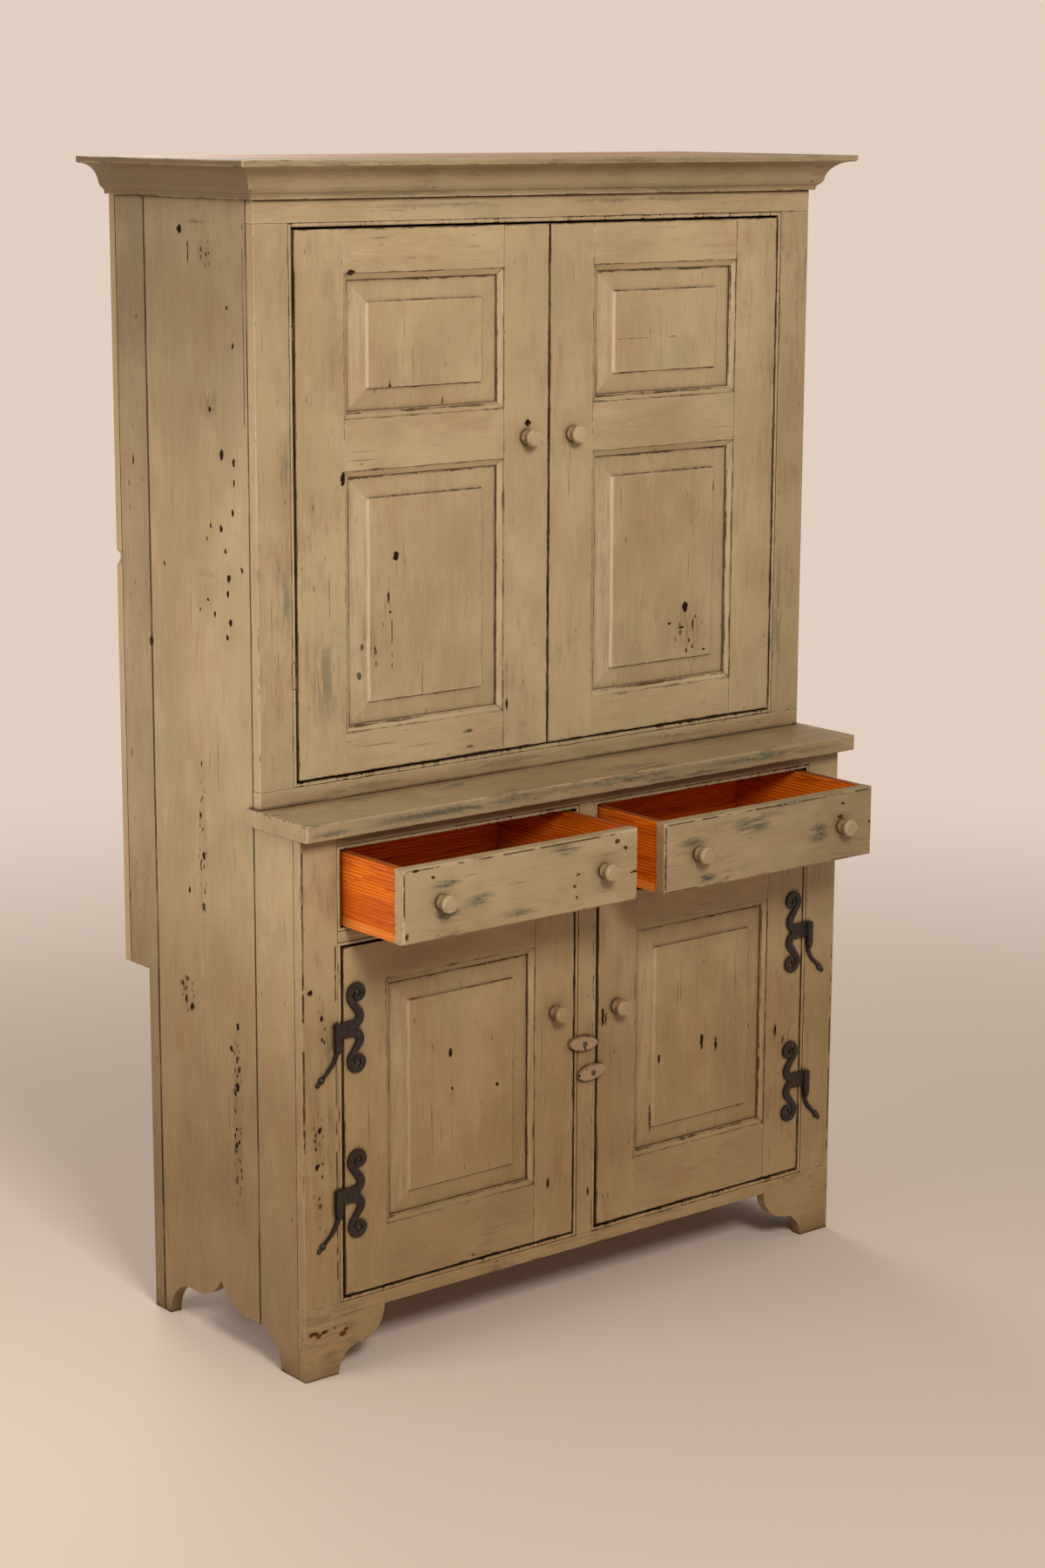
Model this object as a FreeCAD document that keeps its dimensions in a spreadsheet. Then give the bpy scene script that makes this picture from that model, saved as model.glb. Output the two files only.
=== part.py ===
"""Step-back cupboard in painted pine, as the separate boards, doors, drawers and iron it is made of.

Millimetres, +Z up, front towards -Y. The origin is on the floor, in the middle of the whole piece
as it stands here, with both drawers part open.
"""
import FreeCAD, Part
import Sketcher
import math
import os
import re

doc = FreeCAD.newDocument("StepBackCupboard")
sizes = doc.addObject("Spreadsheet::Sheet", "Sizes")
working = doc.addObject("Spreadsheet::Sheet", "Working")

# Driving dimensions: name, millimetres, what it is
SIZES = (
    ("case_width", 1200, "outside width of the two cases"),
    ("total_height", 1980, "floor to the top of the cornice"),
    ("lower_height", 921, "floor to the underside of the step top"),
    ("lower_depth", 453, "lower front face to the rear edge of the lower sides"),
    ("rear_depth", 527, "lower front face to the rear face of the upper back"),
    ("upper_setback", 109, "upper front face behind the lower front face"),
    ("notch_height", 612, "floor to the underside of the deeper upper rear"),
    ("side_thickness", 22, "side boards"),
    ("main_board_width", 292, "full-height side board"),
    ("frame_thickness", 20, "face frames"),
    ("back_thickness", 16, "back boards"),
    ("back_board_count", 5, "boards across each back"),
    ("top_thickness", 18, "top boards"),
    ("top_board_count", 3, "top boards, front to back"),
    ("shelf_thickness", 20, "shelves, decks and bottom"),
    ("shelf_clearance", 4, "shelf behind the doors"),
    ("cleat_height", 30, "battens under the shelves"),
    ("cleat_thickness", 20, "battens under the shelves"),
    ("lower_shelf_height", 430, "floor to the top of the lower shelf"),
    ("joint_gap", 0.8, "open joint between neighbouring boards"),
    ("step_thickness", 28, "step top"),
    ("step_front_overhang", 32.5, "step top past the lower front"),
    ("step_side_overhang", 9.4, "step top past the sides"),
    ("step_ear_length", 12, "ears of the step top along the sides"),
    ("cornice_height", 61, "cornice"),
    ("cornice_projection", 61, "cornice past the case"),
    ("cornice_fillet", 9, "flat band at the top of the cornice"),
    ("cornice_lip", 4, "chamfer under the flat band"),
    ("cornice_foot", 8.5, "flat at the bottom of the cornice"),
    ("cornice_bed_depth", 15, "small hollow's reach"),
    ("cornice_bed_height", 11, "small hollow's rise"),
    ("cornice_bed_radius", 10, "small hollow"),
    ("cornice_step_depth", 4, "step above the small hollow"),
    ("cornice_step_height", 6, "step above the small hollow"),
    ("cornice_cove_radius", 37, "large hollow"),
    ("arch_front", 71, "front foot along the side"),
    ("arch_back", 405, "front of the rear foot"),
    ("arch_height", 64, "side apron above the floor"),
    ("arch_peak_depth", 246, "point of the side arch"),
    ("arch_peak_height", 106, "point of the side arch"),
    ("arch_lobe_width", 74, "each lobe beside the point"),
    ("arch_lobe_radius", 90, "each lobe beside the point"),
    ("arch_curve_width", 58, "quarter round beside each foot"),
    ("arch_curve_radius", 64, "quarter round beside each foot"),
    ("foot_width", 68, "front foot across the front"),
    ("foot_hollow", 47, "hollow beside the front foot"),
    ("foot_hollow_radius", 48, "hollow beside the front foot"),
    ("foot_lobe", 48, "lobe above the hollow"),
    ("foot_lobe_radius", 53, "lobe above the hollow"),
    ("apron_height", 102, "front apron above the floor"),
    ("base_height", 124, "front base board"),
    ("lower_stile_width", 72, "lower face frame"),
    ("centre_stile_width", 34, "lower face frame"),
    ("lower_top_rail", 21, "lower face frame"),
    ("drawer_opening_height", 142, "drawer openings"),
    ("drawer_rail_height", 18, "rail under the drawers"),
    ("upper_stile_width", 66, "upper face frame"),
    ("upper_top_rail", 37, "upper face frame, below the cornice"),
    ("upper_bottom_rail", 29, "upper face frame"),
    ("bead_width", 7, "bead round every opening"),
    ("bead_depth", 14, "bead round every opening"),
    ("bead_round", 2.94, "rounded edges of the bead"),
    ("door_thickness", 22, "stiles and rails of the doors"),
    ("door_gap", 3.8, "round every door"),
    ("sticking_width", 11, "moulded inner edge of the door frames"),
    ("sticking_quirk", 1.5, "step at the outside of the moulded edge"),
    ("sticking_depth", 6.5, "moulded edge at the panel"),
    ("groove_depth", 9, "face of the frame to the panel's tongue"),
    ("tongue_thickness", 6, "panel's tongue"),
    ("tongue_clearance", 1, "panel's tongue in its groove"),
    ("bevel_width", 35, "sloping border of the raised panels"),
    ("bevel_rise", 5, "sloping border of the raised panels"),
    ("field_rise", 3, "step up to the raised field"),
    ("upper_door_stile", 96, "upper doors"),
    ("upper_door_top_rail", 70, "upper doors"),
    ("upper_door_mid_rail", 84, "upper doors"),
    ("upper_door_bottom_rail", 67, "upper doors"),
    ("upper_panel_height", 232, "upper doors' small panels"),
    ("lower_door_stile", 86, "lower doors"),
    ("lower_door_top_rail", 65, "lower doors"),
    ("lower_door_bottom_rail", 106, "lower doors"),
    ("knob_base_radius", 12, "knobs"),
    ("knob_neck_radius", 9.5, "knobs"),
    ("knob_head_radius", 15, "knobs"),
    ("knob_face_radius", 12.5, "knobs"),
    ("knob_base_length", 4, "knobs"),
    ("knob_neck_length", 10, "knobs"),
    ("knob_flare_length", 5, "knobs"),
    ("knob_rim_length", 4, "knobs"),
    ("knob_face_length", 4.5, "knobs"),
    ("knob_neck_hollow", 16, "radius of the hollow neck"),
    ("knob_face_edge", 3.8, "knob's face, at its edge"),
    ("tenon_radius", 6, "knob tenons"),
    ("tenon_length", 14, "knob tenons"),
    ("tenon_clearance", 0.1, "knob tenons in their holes"),
    ("upper_knob_inset", 48, "upper door knobs from the meeting edge"),
    ("upper_knob_drop", 51, "upper door knobs below the top of the middle rail"),
    ("lower_knob_inset", 42, "lower door knobs from the meeting edge"),
    ("left_knob_drop", 188, "lower left knob below the top of its door"),
    ("right_knob_drop", 201, "lower right knob below the top of its door"),
    ("keyhole_inset", 44, "keyhole from the meeting edge"),
    ("keyhole_drop", 28, "keyhole below the top of the middle rail"),
    ("keyhole_size", 11, "square keyhole, set cornerwise"),
    ("left_drawer_open", 163, "left drawer pulled out"),
    ("right_drawer_open", 170, "right drawer pulled out"),
    ("left_drawer_length", 368, "left drawer, front to back"),
    ("right_drawer_length", 349, "right drawer, front to back"),
    ("drawer_gap", 3, "drawer front in its opening, each end"),
    ("drawer_foot_gap", 1.5, "under the drawer fronts"),
    ("drawer_head_gap", 4, "over the drawer fronts"),
    ("drawer_front_thickness", 22, "drawer fronts"),
    ("drawer_chamfer", 3, "worn edge of the drawer fronts"),
    ("drawer_side_inset", 2, "drawer side inside the front's end"),
    ("drawer_side_thickness", 13, "drawer sides and backs"),
    ("drawer_bottom_thickness", 8, "drawer bottoms"),
    ("drawer_bottom_rise", 10, "drawer bottoms above the sides' lower edge"),
    ("drawer_groove", 5, "drawer bottoms let into their sides"),
    ("drawer_back_drop", 12, "drawer back below the sides' upper edge"),
    ("drawer_knob_spacing", 340, "between the two knobs of a drawer"),
    ("runner_clearance", 0.4, "drawer above its runners"),
    ("runner_height", 24, "drawer runners"),
    ("guide_height", 30, "drawer guides above the runners"),
    ("guide_clearance", 2.5, "drawer side to its guide"),
    ("runner_reach", 24, "runner under the drawer side"),
    ("hinge_height_top", 592, "upper pair of ram's-horn hinges"),
    ("hinge_height_bottom", 308, "lower pair of ram's-horn hinges"),
    ("hinge_axis_inset", 4.7, "hinge pin inside the edge of the stile"),
    ("hinge_barrel_radius", 6.2, "ram's-horn hinges"),
    ("hinge_barrel_length", 27, "ram's-horn hinges"),
    ("hinge_pin_radius", 3.5, "ram's-horn hinges"),
    ("hinge_face_gap", 0.4, "hinge barrel in front of the stile"),
    ("hinge_plate_length", 41.3, "ram's-horn hinges, from the pin"),
    ("horn_thickness", 4, "ram's-horn scrolls"),
    ("horn_width", 14, "ram's-horn scrolls at the plate"),
    ("horn_neck_width", 10, "ram's-horn scrolls round the spiral"),
    ("horn_tip_width", 4.5, "ram's-horn scrolls at the eye"),
    ("horn_eye_reach", 41.8, "eye of the scroll from the pin"),
    ("horn_eye_rise", 57.2, "eye of the scroll above the middle of the plate"),
    ("horn_outer_radius", 16.5, "start of the spiral"),
    ("horn_inner_radius", 2.4, "end of the spiral"),
    ("tail_drop", 77.5, "end of the rat tail below the middle of the plate"),
    ("tail_reach", 31, "end of the rat tail from the pin"),
    ("tail_thickness", 4, "rat tail"),
    ("tail_width", 9, "rat tail beside the barrel"),
    ("tail_neck_width", 7, "rat tail under the barrel"),
    ("tail_tip_width", 3.4, "rat tail at its end"),
    ("tail_bud_radius", 6.2, "bud at the end of the rat tail"),
    ("tail_tip_length", 10, "bud to the small ball past it"),
    ("pintle_length", 22, "fixed barrel under the hinge"),
    ("running_clearance", 0.05, "pins in turning barrels"),
    ("fixed_clearance", 0.02, "pins in fixed barrels"),
    ("butt_length", 63, "hinges of the upper doors"),
    ("butt_leaf_thickness", 1.2, "hinges of the upper doors"),
    ("butt_leaf_width", 15, "hinges of the upper doors"),
    ("butt_pin_radius", 1.6, "hinges of the upper doors"),
    ("butt_knuckle_gap", 0.3, "hinges of the upper doors"),
    ("butt_inset", 130, "hinges from the ends of the upper doors"),
    ("button_length", 60, "turn buttons"),
    ("button_width", 25, "turn buttons"),
    ("button_thickness", 9, "turn buttons"),
    ("button_edge", 2.5, "rounded edge of the turn buttons"),
    ("button_gap", 0.6, "turn buttons in front of the doors"),
    ("upper_button_shift", 9, "upper turn button's screw left of the middle"),
    ("lower_button_shift", 11, "lower turn button's screw right of the middle"),
    ("upper_button_height", 475, "upper turn button above the floor"),
    ("lower_button_height", 419.5, "lower turn button above the floor"),
    ("upper_button_tilt", -4, "degrees"),
    ("lower_button_tilt", 8, "degrees"),
    ("screw_radius", 2, "turn button screws"),
    ("screw_head_radius", 4.5, "turn button screws"),
    ("screw_head_height", 2, "turn button screws"),
    ("screw_grip", 14, "turn button screws in the stile"),
    ("bite_height", 1316, "bite out of the left back board's edge"),
    ("bite_radius", 13, "bite out of the left back board's edge"),
    ("bite_depth", 7, "bite out of the left back board's edge"),
)

# Places worked out from the sizes: x from the left side, y back from the lower front, z from the floor
PLACES = {
    "inner_right": "case_width - side_thickness",
    "upper_frame_back": "upper_setback + frame_thickness",
    "main_board_front": "upper_frame_back + joint_gap",
    "main_board_back": "main_board_front + main_board_width",
    "rear_board_front": "main_board_back + joint_gap",
    "back_inner": "rear_depth - back_thickness",
    "lower_back_inner": "lower_depth - back_thickness",
    "case_top": "total_height - top_thickness",
    "step_level": "lower_height + step_thickness",
    "cornice_base": "total_height - cornice_height",
    "upper_opening_bottom": "step_level + upper_bottom_rail",
    "upper_opening_top": "cornice_base - upper_top_rail",
    "upper_opening_right": "case_width - upper_stile_width",
    "drawer_opening_top": "lower_height - lower_top_rail",
    "drawer_opening_bottom": "drawer_opening_top - drawer_opening_height",
    "door_opening_top": "drawer_opening_bottom - drawer_rail_height",
    "centre_left": "(case_width - centre_stile_width) / 2",
    "centre_right": "(case_width + centre_stile_width) / 2",
    "lower_opening_right": "case_width - lower_stile_width",
    "upper_door_width": "(upper_opening_right - upper_stile_width) / 2 - bead_width - 1.5 * door_gap",
    "upper_door_left": "upper_stile_width + bead_width + door_gap",
    "upper_door_right": "upper_opening_right - bead_width - door_gap - upper_door_width",
    "upper_door_bottom": "upper_opening_bottom + bead_width + door_gap",
    "upper_door_top": "upper_opening_top - bead_width - door_gap",
    "mid_rail_top": "upper_door_top - upper_door_top_rail - upper_panel_height",
    "lower_door_width": "centre_left - lower_stile_width - 2 * bead_width - 2 * door_gap",
    "lower_door_left": "lower_stile_width + bead_width + door_gap",
    "lower_door_right": "centre_right + bead_width + door_gap",
    "lower_door_bottom": "base_height + bead_width + door_gap",
    "lower_door_top": "door_opening_top - bead_width - door_gap",
    "drawer_bottom": "drawer_opening_bottom + bead_width + drawer_foot_gap",
    "drawer_top": "drawer_opening_top - bead_width - drawer_head_gap",
    "drawer_width": "centre_left - lower_stile_width - 2 * bead_width - 2 * drawer_gap",
    "left_drawer_x": "lower_stile_width + bead_width + drawer_gap",
    "right_drawer_x": "centre_right + bead_width + drawer_gap",
    "runner_top": "drawer_bottom - runner_clearance",
    "knob_projection": "knob_base_length + knob_neck_length + knob_flare_length + knob_rim_length"
                       " + knob_face_length",
    "hinge_axis_y": "-(hinge_barrel_radius + hinge_face_gap)",
    "butt_axis_y": "upper_setback + bead_width / 2",
    "upper_shelf_pitch": "(case_top - step_level) / 3",
    "front_reach": "max(left_drawer_open; right_drawer_open) + knob_projection",
    "origin_depth": "(rear_depth - front_reach) / 2",
}

for row, (alias, value, meaning) in enumerate(SIZES, start=1):
    sizes.set(f"A{row}", meaning)
    sizes.set(f"B{row}", str(value))
    sizes.setAlias(f"B{row}", alias)
doc.recompute()

ALIASES = {alias for alias, value, meaning in SIZES}
WORD = re.compile(r"[a-z][a-z_]+")
UP, ALONG_X, ALONG_Y = FreeCAD.Vector(0, 0, 1), FreeCAD.Vector(1, 0, 0), FreeCAD.Vector(0, 1, 0)
SAME_PLANE = 0.01
nodes = []

# Ram's-horn: shares of its half width past the plate's end, with shares of the barrel's length,
# then with shares of the rise from the bend to the eye
HORN_ROOT = ((-1, 0.25), (0.3, 0.38))
HORN_BEND = ((0.8, 0.03), (-0.2, 0.35), (-1.45, 0.64))
SCROLL_START, SCROLL_SWEEP, SCROLL_STEPS, SCROLL_CURVE = 205, 430, 12, 1.15
# Rat tail: shares of its reach and of its drop
TAIL_LINE = ((0.1, 0.58), (0.26, 0.7), (0.5, 0.8), (0.76, 0.905), (1, 1))
# Widths of horn and tail at shares of their length
HORN_WIDTHS = ((0, "horn_width"), (0.16, "horn_width"), (0.38, "horn_neck_width"), (0.8, "horn_neck_width"),
               (1, "horn_tip_width"))
TAIL_WIDTHS = ((0, "tail_width"), (0.25, "tail_neck_width"), (1, "tail_tip_width"))
# Past the bud: a neck and a small ball in shares of the bud's radius, and the way they lean
BUD_NECK, BUD_BALL, BUD_LEAN = 0.5, 0.68, FreeCAD.Vector(-0.7, 0, -0.7)
# Under the fixed barrel: the share of its length that narrows, and the share of its radius left
TAPER_LENGTH, TAPER_END = 0.45, 0.6
STEPS_PER_POINT = 6


def expression(text):
    """Spell out the places in an expression and point each size at its cell."""
    def spell(match):
        word = match.group(0)
        if word in PLACES:
            return f"({expression(PLACES[word])})"
        return f"Sizes.{word}" if word in ALIASES else word
    return WORD.sub(spell, str(text))


def number(text):
    """The value of an expression as it stands."""
    working.set("A1", f"={expression(text)}")
    working.recompute()
    return float(working.get("A1"))


def bind(piece, prop, text):
    piece.setExpression(prop, expression(text))


def place(piece, x, y, z):
    """Put a piece's own origin at a place given from the left side, the lower front and the floor."""
    bind(piece, "Placement.Base.x", f"({x}) - case_width / 2")
    bind(piece, "Placement.Base.y", f"({y}) - origin_depth")
    bind(piece, "Placement.Base.z", z)


def turn(piece, axis, degrees):
    piece.Placement = FreeCAD.Placement(FreeCAD.Vector(), FreeCAD.Rotation(axis, degrees))


def node(label, *pieces):
    """Name a sub-part: one piece, or several separate ones kept together."""
    piece = pieces[0]
    if len(pieces) > 1:
        piece = doc.addObject("Part::Compound", label)
        piece.Links = list(pieces)
    piece.Label = label
    nodes.append(piece)
    return piece


def fuse(name, *pieces):
    whole = doc.addObject("Part::MultiFuse", name)
    whole.Shapes = list(pieces)
    whole.Refine = True
    return whole


def cut(name, base, tool):
    rest = doc.addObject("Part::Cut", name)
    rest.Base = base
    rest.Tool = tool
    return rest


def board(name, x, y, z):
    """A squared board between two planes along each axis."""
    piece = doc.addObject("Part::Box", name)
    for prop, (low, high) in (("Length", x), ("Width", y), ("Height", z)):
        bind(piece, prop, f"({high}) - ({low})")
    place(piece, x[0], y[0], z[0])
    return piece


def rod(name, radius, length, x, y, z, axis=None):
    """A round bar that starts at a place and runs up, or back along y."""
    piece = doc.addObject("Part::Cylinder", name)
    bind(piece, "Radius", radius)
    bind(piece, "Height", length)
    if axis == "back":
        turn(piece, ALONG_X, -90)
    place(piece, x, y, z)
    return piece


def outline(name, plane, corners, depth, reverse=False):
    """A body padded from an outline: corners (u, v), or (u, v, radius, bulge) where an arc arrives.

    A bulge of 1 swings the arc to the left of its chord, and -1 to the right.
    """
    body = doc.addObject("PartDesign::Body", name)
    sketch = drawn(body, plane, corners)
    pad = body.newObject("PartDesign::Pad", f"{name}_pad")
    pad.Profile = sketch
    bind(pad, "Length", depth)
    pad.Reversed = reverse
    return body


def drawn(body, plane, corners):
    """A closed sketch on one of the body's own planes, held by its corners and radii."""
    sketch = body.newObject("Sketcher::SketchObject", f"{body.Name}_sketch")
    support = [feature for feature in body.Origin.OriginFeatures if feature.Role == plane][0]
    sketch.AttachmentSupport = [(support, "")]
    sketch.MapMode = "FlatFace"
    points = [FreeCAD.Vector(number(corner[0]), number(corner[1]), 0) for corner in corners]
    starts = []
    for index, point in enumerate(points):
        arriving = (index + 1) % len(points)
        edge, start = edge_between(point, points[arriving], corners[arriving])
        sketch.addGeometry(edge, False)
        starts.append(start)
    for index, corner in enumerate(corners):
        held_at = (("DistanceX", corner[0], points[index].x), ("DistanceY", corner[1], points[index].y))
        for kind, text, value in held_at:
            held = sketch.addConstraint(Sketcher.Constraint(kind, -1, 1, index, starts[index], value))
            bind(sketch, f"Constraints[{held}]", text)
        before = index - 1 if index else len(corners) - 1
        sketch.addConstraint(
            Sketcher.Constraint("Coincident", before, 3 - starts[before], index, starts[index]))
        if len(corner) == 4:
            held = sketch.addConstraint(Sketcher.Constraint("Radius", before, sketch.Geometry[before].Radius))
            bind(sketch, f"Constraints[{held}]", corner[2])
    return sketch


def edge_between(start, end, corner):
    """A straight edge, or the arc that arrives at a corner, and which of its ends is the start."""
    if len(corner) == 2:
        return Part.LineSegment(start, end), 1
    radius, bulge = number(corner[2]), corner[3]
    chord = end - start
    left = FreeCAD.Vector(-chord.y, chord.x, 0).normalize()
    centre = (start + end) / 2 - left * (bulge * math.sqrt(radius * radius - chord.Length ** 2 / 4))
    first, last = (end, start) if bulge > 0 else (start, end)
    angles = [math.atan2(point.y - centre.y, point.x - centre.x) for point in (first, last)]
    if angles[1] < angles[0]:
        angles[1] += 2 * math.pi
    return Part.ArcOfCircle(Part.Circle(centre, UP, radius), *angles), 2 if bulge > 0 else 1


def ring(name, x, z, back, width, outer, inner):
    """Four mitred strips round an opening: bottom, left, top, right; outer and inner are their heights."""
    wide = f"({x[1]}) - ({x[0]})"
    tall = f"({z[1]}) - ({z[0]})"
    sides = (("bottom", 0, x[0], z[0], wide), ("left", 90, x[0], z[1], tall),
             ("top", 180, x[1], z[1], wide), ("right", 270, x[1], z[0], tall))
    strips = {}
    for side, degrees, corner_x, corner_z, length in sides:
        strip = doc.addObject("Part::Wedge", f"{name}_{side}")
        limits = {"Xmin": 0, "Xmax": length, "X2min": width, "X2max": f"{length} - ({width})",
                  "Ymin": 0, "Ymax": width, "Zmin": 0, "Zmax": outer, "Z2min": 0, "Z2max": inner}
        for prop, text in limits.items():
            bind(strip, prop, text)
        strip.Placement.Rotation = FreeCAD.Rotation(ALONG_Y, degrees) * FreeCAD.Rotation(ALONG_X, 90)
        place(strip, corner_x, back, corner_z)
        strips[side] = strip
    return strips


def bead(name, x, z, face):
    """Four mitred beads inside an opening, rounded towards the front and level with the frame."""
    strips = ring(name, x, z, f"({face}) + bead_depth", "bead_width", "bead_depth", "bead_depth")
    doc.recompute()
    front = number(f"({face}) - origin_depth")
    radius = number("bead_round")
    rounded = {}
    for side, strip in strips.items():
        longest = sorted(
            (index for index, edge in enumerate(strip.Shape.Edges, start=1)
             if abs(edge.CenterOfMass.y - front) < SAME_PLANE),
            key=lambda index: -strip.Shape.Edges[index - 1].Length)[:2]
        soft = doc.addObject("Part::Fillet", f"{name}_{side}_bead")
        soft.Base = strip
        soft.Edges = [(index, radius, radius) for index in longest]
        rounded[side] = soft
    return rounded


def panel(name, x, z, face):
    """A raised and fielded panel for a framed opening: tongue, sloping border and field."""
    tongue = board(f"{name}_tongue",
                   (f"({x[0]}) + tongue_clearance", f"({x[1]}) - tongue_clearance"),
                   (f"({face}) + groove_depth", f"({face}) + groove_depth + tongue_thickness"),
                   (f"({z[0]}) + tongue_clearance", f"({z[1]}) - tongue_clearance"))
    wide = f"({x[1]}) - ({x[0]}) - 2 * (sticking_width + tongue_clearance)"
    tall = f"({z[1]}) - ({z[0]}) - 2 * (sticking_width + tongue_clearance)"
    slope = doc.addObject("Part::Wedge", f"{name}_slope")
    limits = {"Xmin": 0, "Xmax": wide, "X2min": "bevel_width", "X2max": f"{wide} - bevel_width",
              "Zmin": 0, "Zmax": tall, "Z2min": "bevel_width", "Z2max": f"{tall} - bevel_width",
              "Ymin": 0, "Ymax": "bevel_rise"}
    for prop, text in limits.items():
        bind(slope, prop, text)
    turn(slope, ALONG_X, 180)
    place(slope, f"({x[0]}) + sticking_width + tongue_clearance", f"({face}) + groove_depth",
          f"({z[1]}) - sticking_width - tongue_clearance")
    edge = "(sticking_width + bevel_width + tongue_clearance)"
    field = board(f"{name}_field",
                  (f"({x[0]}) + {edge}", f"({x[1]}) - {edge}"),
                  (f"({face}) + groove_depth - bevel_rise - field_rise", f"({face}) + groove_depth"),
                  (f"({z[0]}) + {edge}", f"({z[1]}) - {edge}"))
    return fuse(name, tongue, slope, field)


def knob(name, x, face, z):
    """A turned knob with its tenon, standing out of a front face."""
    neck = "knob_base_length + knob_neck_length"
    flare = f"{neck} + knob_flare_length"
    rim = f"{flare} + knob_rim_length"
    profile = [("0", "-tenon_length"), ("tenon_radius", "-tenon_length"), ("tenon_radius", "0"),
               ("knob_base_radius", "0"), ("knob_base_radius", "knob_base_length"),
               ("knob_neck_radius", neck, "knob_neck_hollow", 1), ("knob_head_radius", flare),
               ("knob_head_radius", rim), ("knob_face_radius", f"{rim} + knob_face_edge"),
               ("0", "knob_projection")]
    body = doc.addObject("PartDesign::Body", name)
    sketch = drawn(body, "XY_Plane", profile)
    round_body = body.newObject("PartDesign::Revolution", f"{name}_turning")
    round_body.Profile = sketch
    round_body.ReferenceAxis = (sketch, ["V_Axis"])
    round_body.Angle = 360
    turn(body, UP, 180)
    place(body, x, face, z)
    return body


def tenon_hole(name, x, face, z):
    return rod(name, "tenon_radius + tenon_clearance", "tenon_length + tenon_clearance", x, face, z, "back")


def framed_door(name, x, z, face, stile, rails, panels, hole):
    """Stiles, rails and raised panels of one door; rails and panels are (low, high) from the bottom up."""
    depth = (face, f"({face}) + door_thickness")
    left = (x[0], f"({x[0]}) + {stile}")
    right = (f"({x[1]}) - {stile}", x[1])
    between = (left[1], right[0])
    front = f"({face}) + groove_depth"
    lip = "door_thickness - groove_depth - tongue_thickness"
    outer, inner = "groove_depth - sticking_quirk", "groove_depth - sticking_depth"
    rings = []
    for index, height in enumerate(panels):
        rings.append((ring(f"{name}_moulding{index}", between, height, front, "sticking_width", outer, inner),
                      ring(f"{name}_lip{index}", between, height, depth[1], "sticking_width", lip, lip)))
    stiles = []
    for side, edge in (("left", left), ("right", right)):
        strips = [strip[side] for pair in rings for strip in pair]
        stiles.append(fuse(f"{name}_{side}_stile", board(f"{name}_{side}_blank", edge, depth, z), *strips))
    bored = 1 if hole[0] == "right" else 0
    stiles[bored] = cut(f"{name}_bored_stile", stiles[bored], hole[1])
    cross = []
    for index, height in enumerate(rails):
        strips = []
        if index < len(panels):
            strips += [strip["bottom"] for strip in rings[index]]
        if index > 0:
            strips += [strip["top"] for strip in rings[index - 1]]
        blank = board(f"{name}_rail_blank{index}", between, depth, height)
        cross.append(fuse(f"{name}_rail{index}", blank, *strips))
    node(f"{name}_stiles", *stiles)
    node(f"{name}_rails", *cross)
    filled = [panel(f"{name}_panel{index}", between, height, face) for index, height in enumerate(panels)]
    node(f"{name}_panels" if len(filled) > 1 else f"{name}_panel", *filled)


def width_at(widths, share):
    """Width at a share of a bar's length, from pairs of share and size with straight runs between them."""
    for (first, start), (last, end) in zip(widths, widths[1:]):
        if share <= last:
            return number(start) + (number(end) - number(start)) * (share - first) / (last - first)
    return number(widths[-1][1])


def ribbon(points, widths, thickness):
    """A flat bar of changing width that follows a smooth line drawn in the XZ plane."""
    line = Part.BSplineCurve()
    line.interpolate([FreeCAD.Vector(x, 0, z) for x, z in points])
    first, last = line.FirstParameter, line.LastParameter
    steps = STEPS_PER_POINT * (len(points) - 1)
    sides = ([], [])
    for step in range(steps + 1):
        share = step / steps
        at = first + (last - first) * share
        along = line.tangent(at)[0]
        across = FreeCAD.Vector(along.z, 0, -along.x)
        half = width_at(widths, share) / 2
        sides[0].append(line.value(at) + across * half)
        sides[1].append(line.value(at) - across * half)
    edges = []
    for side in sides:
        curve = Part.BSplineCurve()
        curve.interpolate(side)
        edges.append(curve.toShape())
    ends = [Part.makeLine(sides[0][end], sides[1][end]) for end in (0, -1)]
    face = Part.Face(Part.Wire(Part.sortEdges(edges + ends)[0]))
    return face.extrude(FreeCAD.Vector(0, -thickness, 0))


def side_boards():
    """Each side: a full-height board, a stepped rear board and a short front board, with feet cut in them."""
    peak = "arch_peak_depth"
    main = [("main_board_front", "arch_height"), (f"{peak} - arch_lobe_width", "arch_height"),
            (peak, "arch_peak_height", "arch_lobe_radius", -1),
            (f"{peak} + arch_lobe_width", "arch_height", "arch_lobe_radius", -1),
            ("arch_back - arch_curve_width", "arch_height"),
            ("arch_back", "0", "arch_curve_radius", 1),
            ("main_board_back", "0"), ("main_board_back", "case_top"), ("main_board_front", "case_top")]
    rear = [("rear_board_front", "0"), ("lower_depth", "0"), ("lower_depth", "notch_height"),
            ("back_inner", "notch_height"), ("back_inner", "case_top"), ("rear_board_front", "case_top")]
    front = [("frame_thickness", "0"), ("arch_front", "0"),
             ("upper_frame_back", "arch_height", "arch_curve_radius", 1),
             ("upper_frame_back", "lower_height"), ("frame_thickness", "lower_height")]
    for side, x in (("left", "0"), ("right", "inner_right")):
        for part, corners in (("side", main), ("rear_side", rear), ("front_side", front)):
            label = f"{side}_{part}_board"
            piece = outline(label, "YZ_Plane", corners, "side_thickness")
            place(piece, x, "0", "0")
            node(label, piece)


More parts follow.
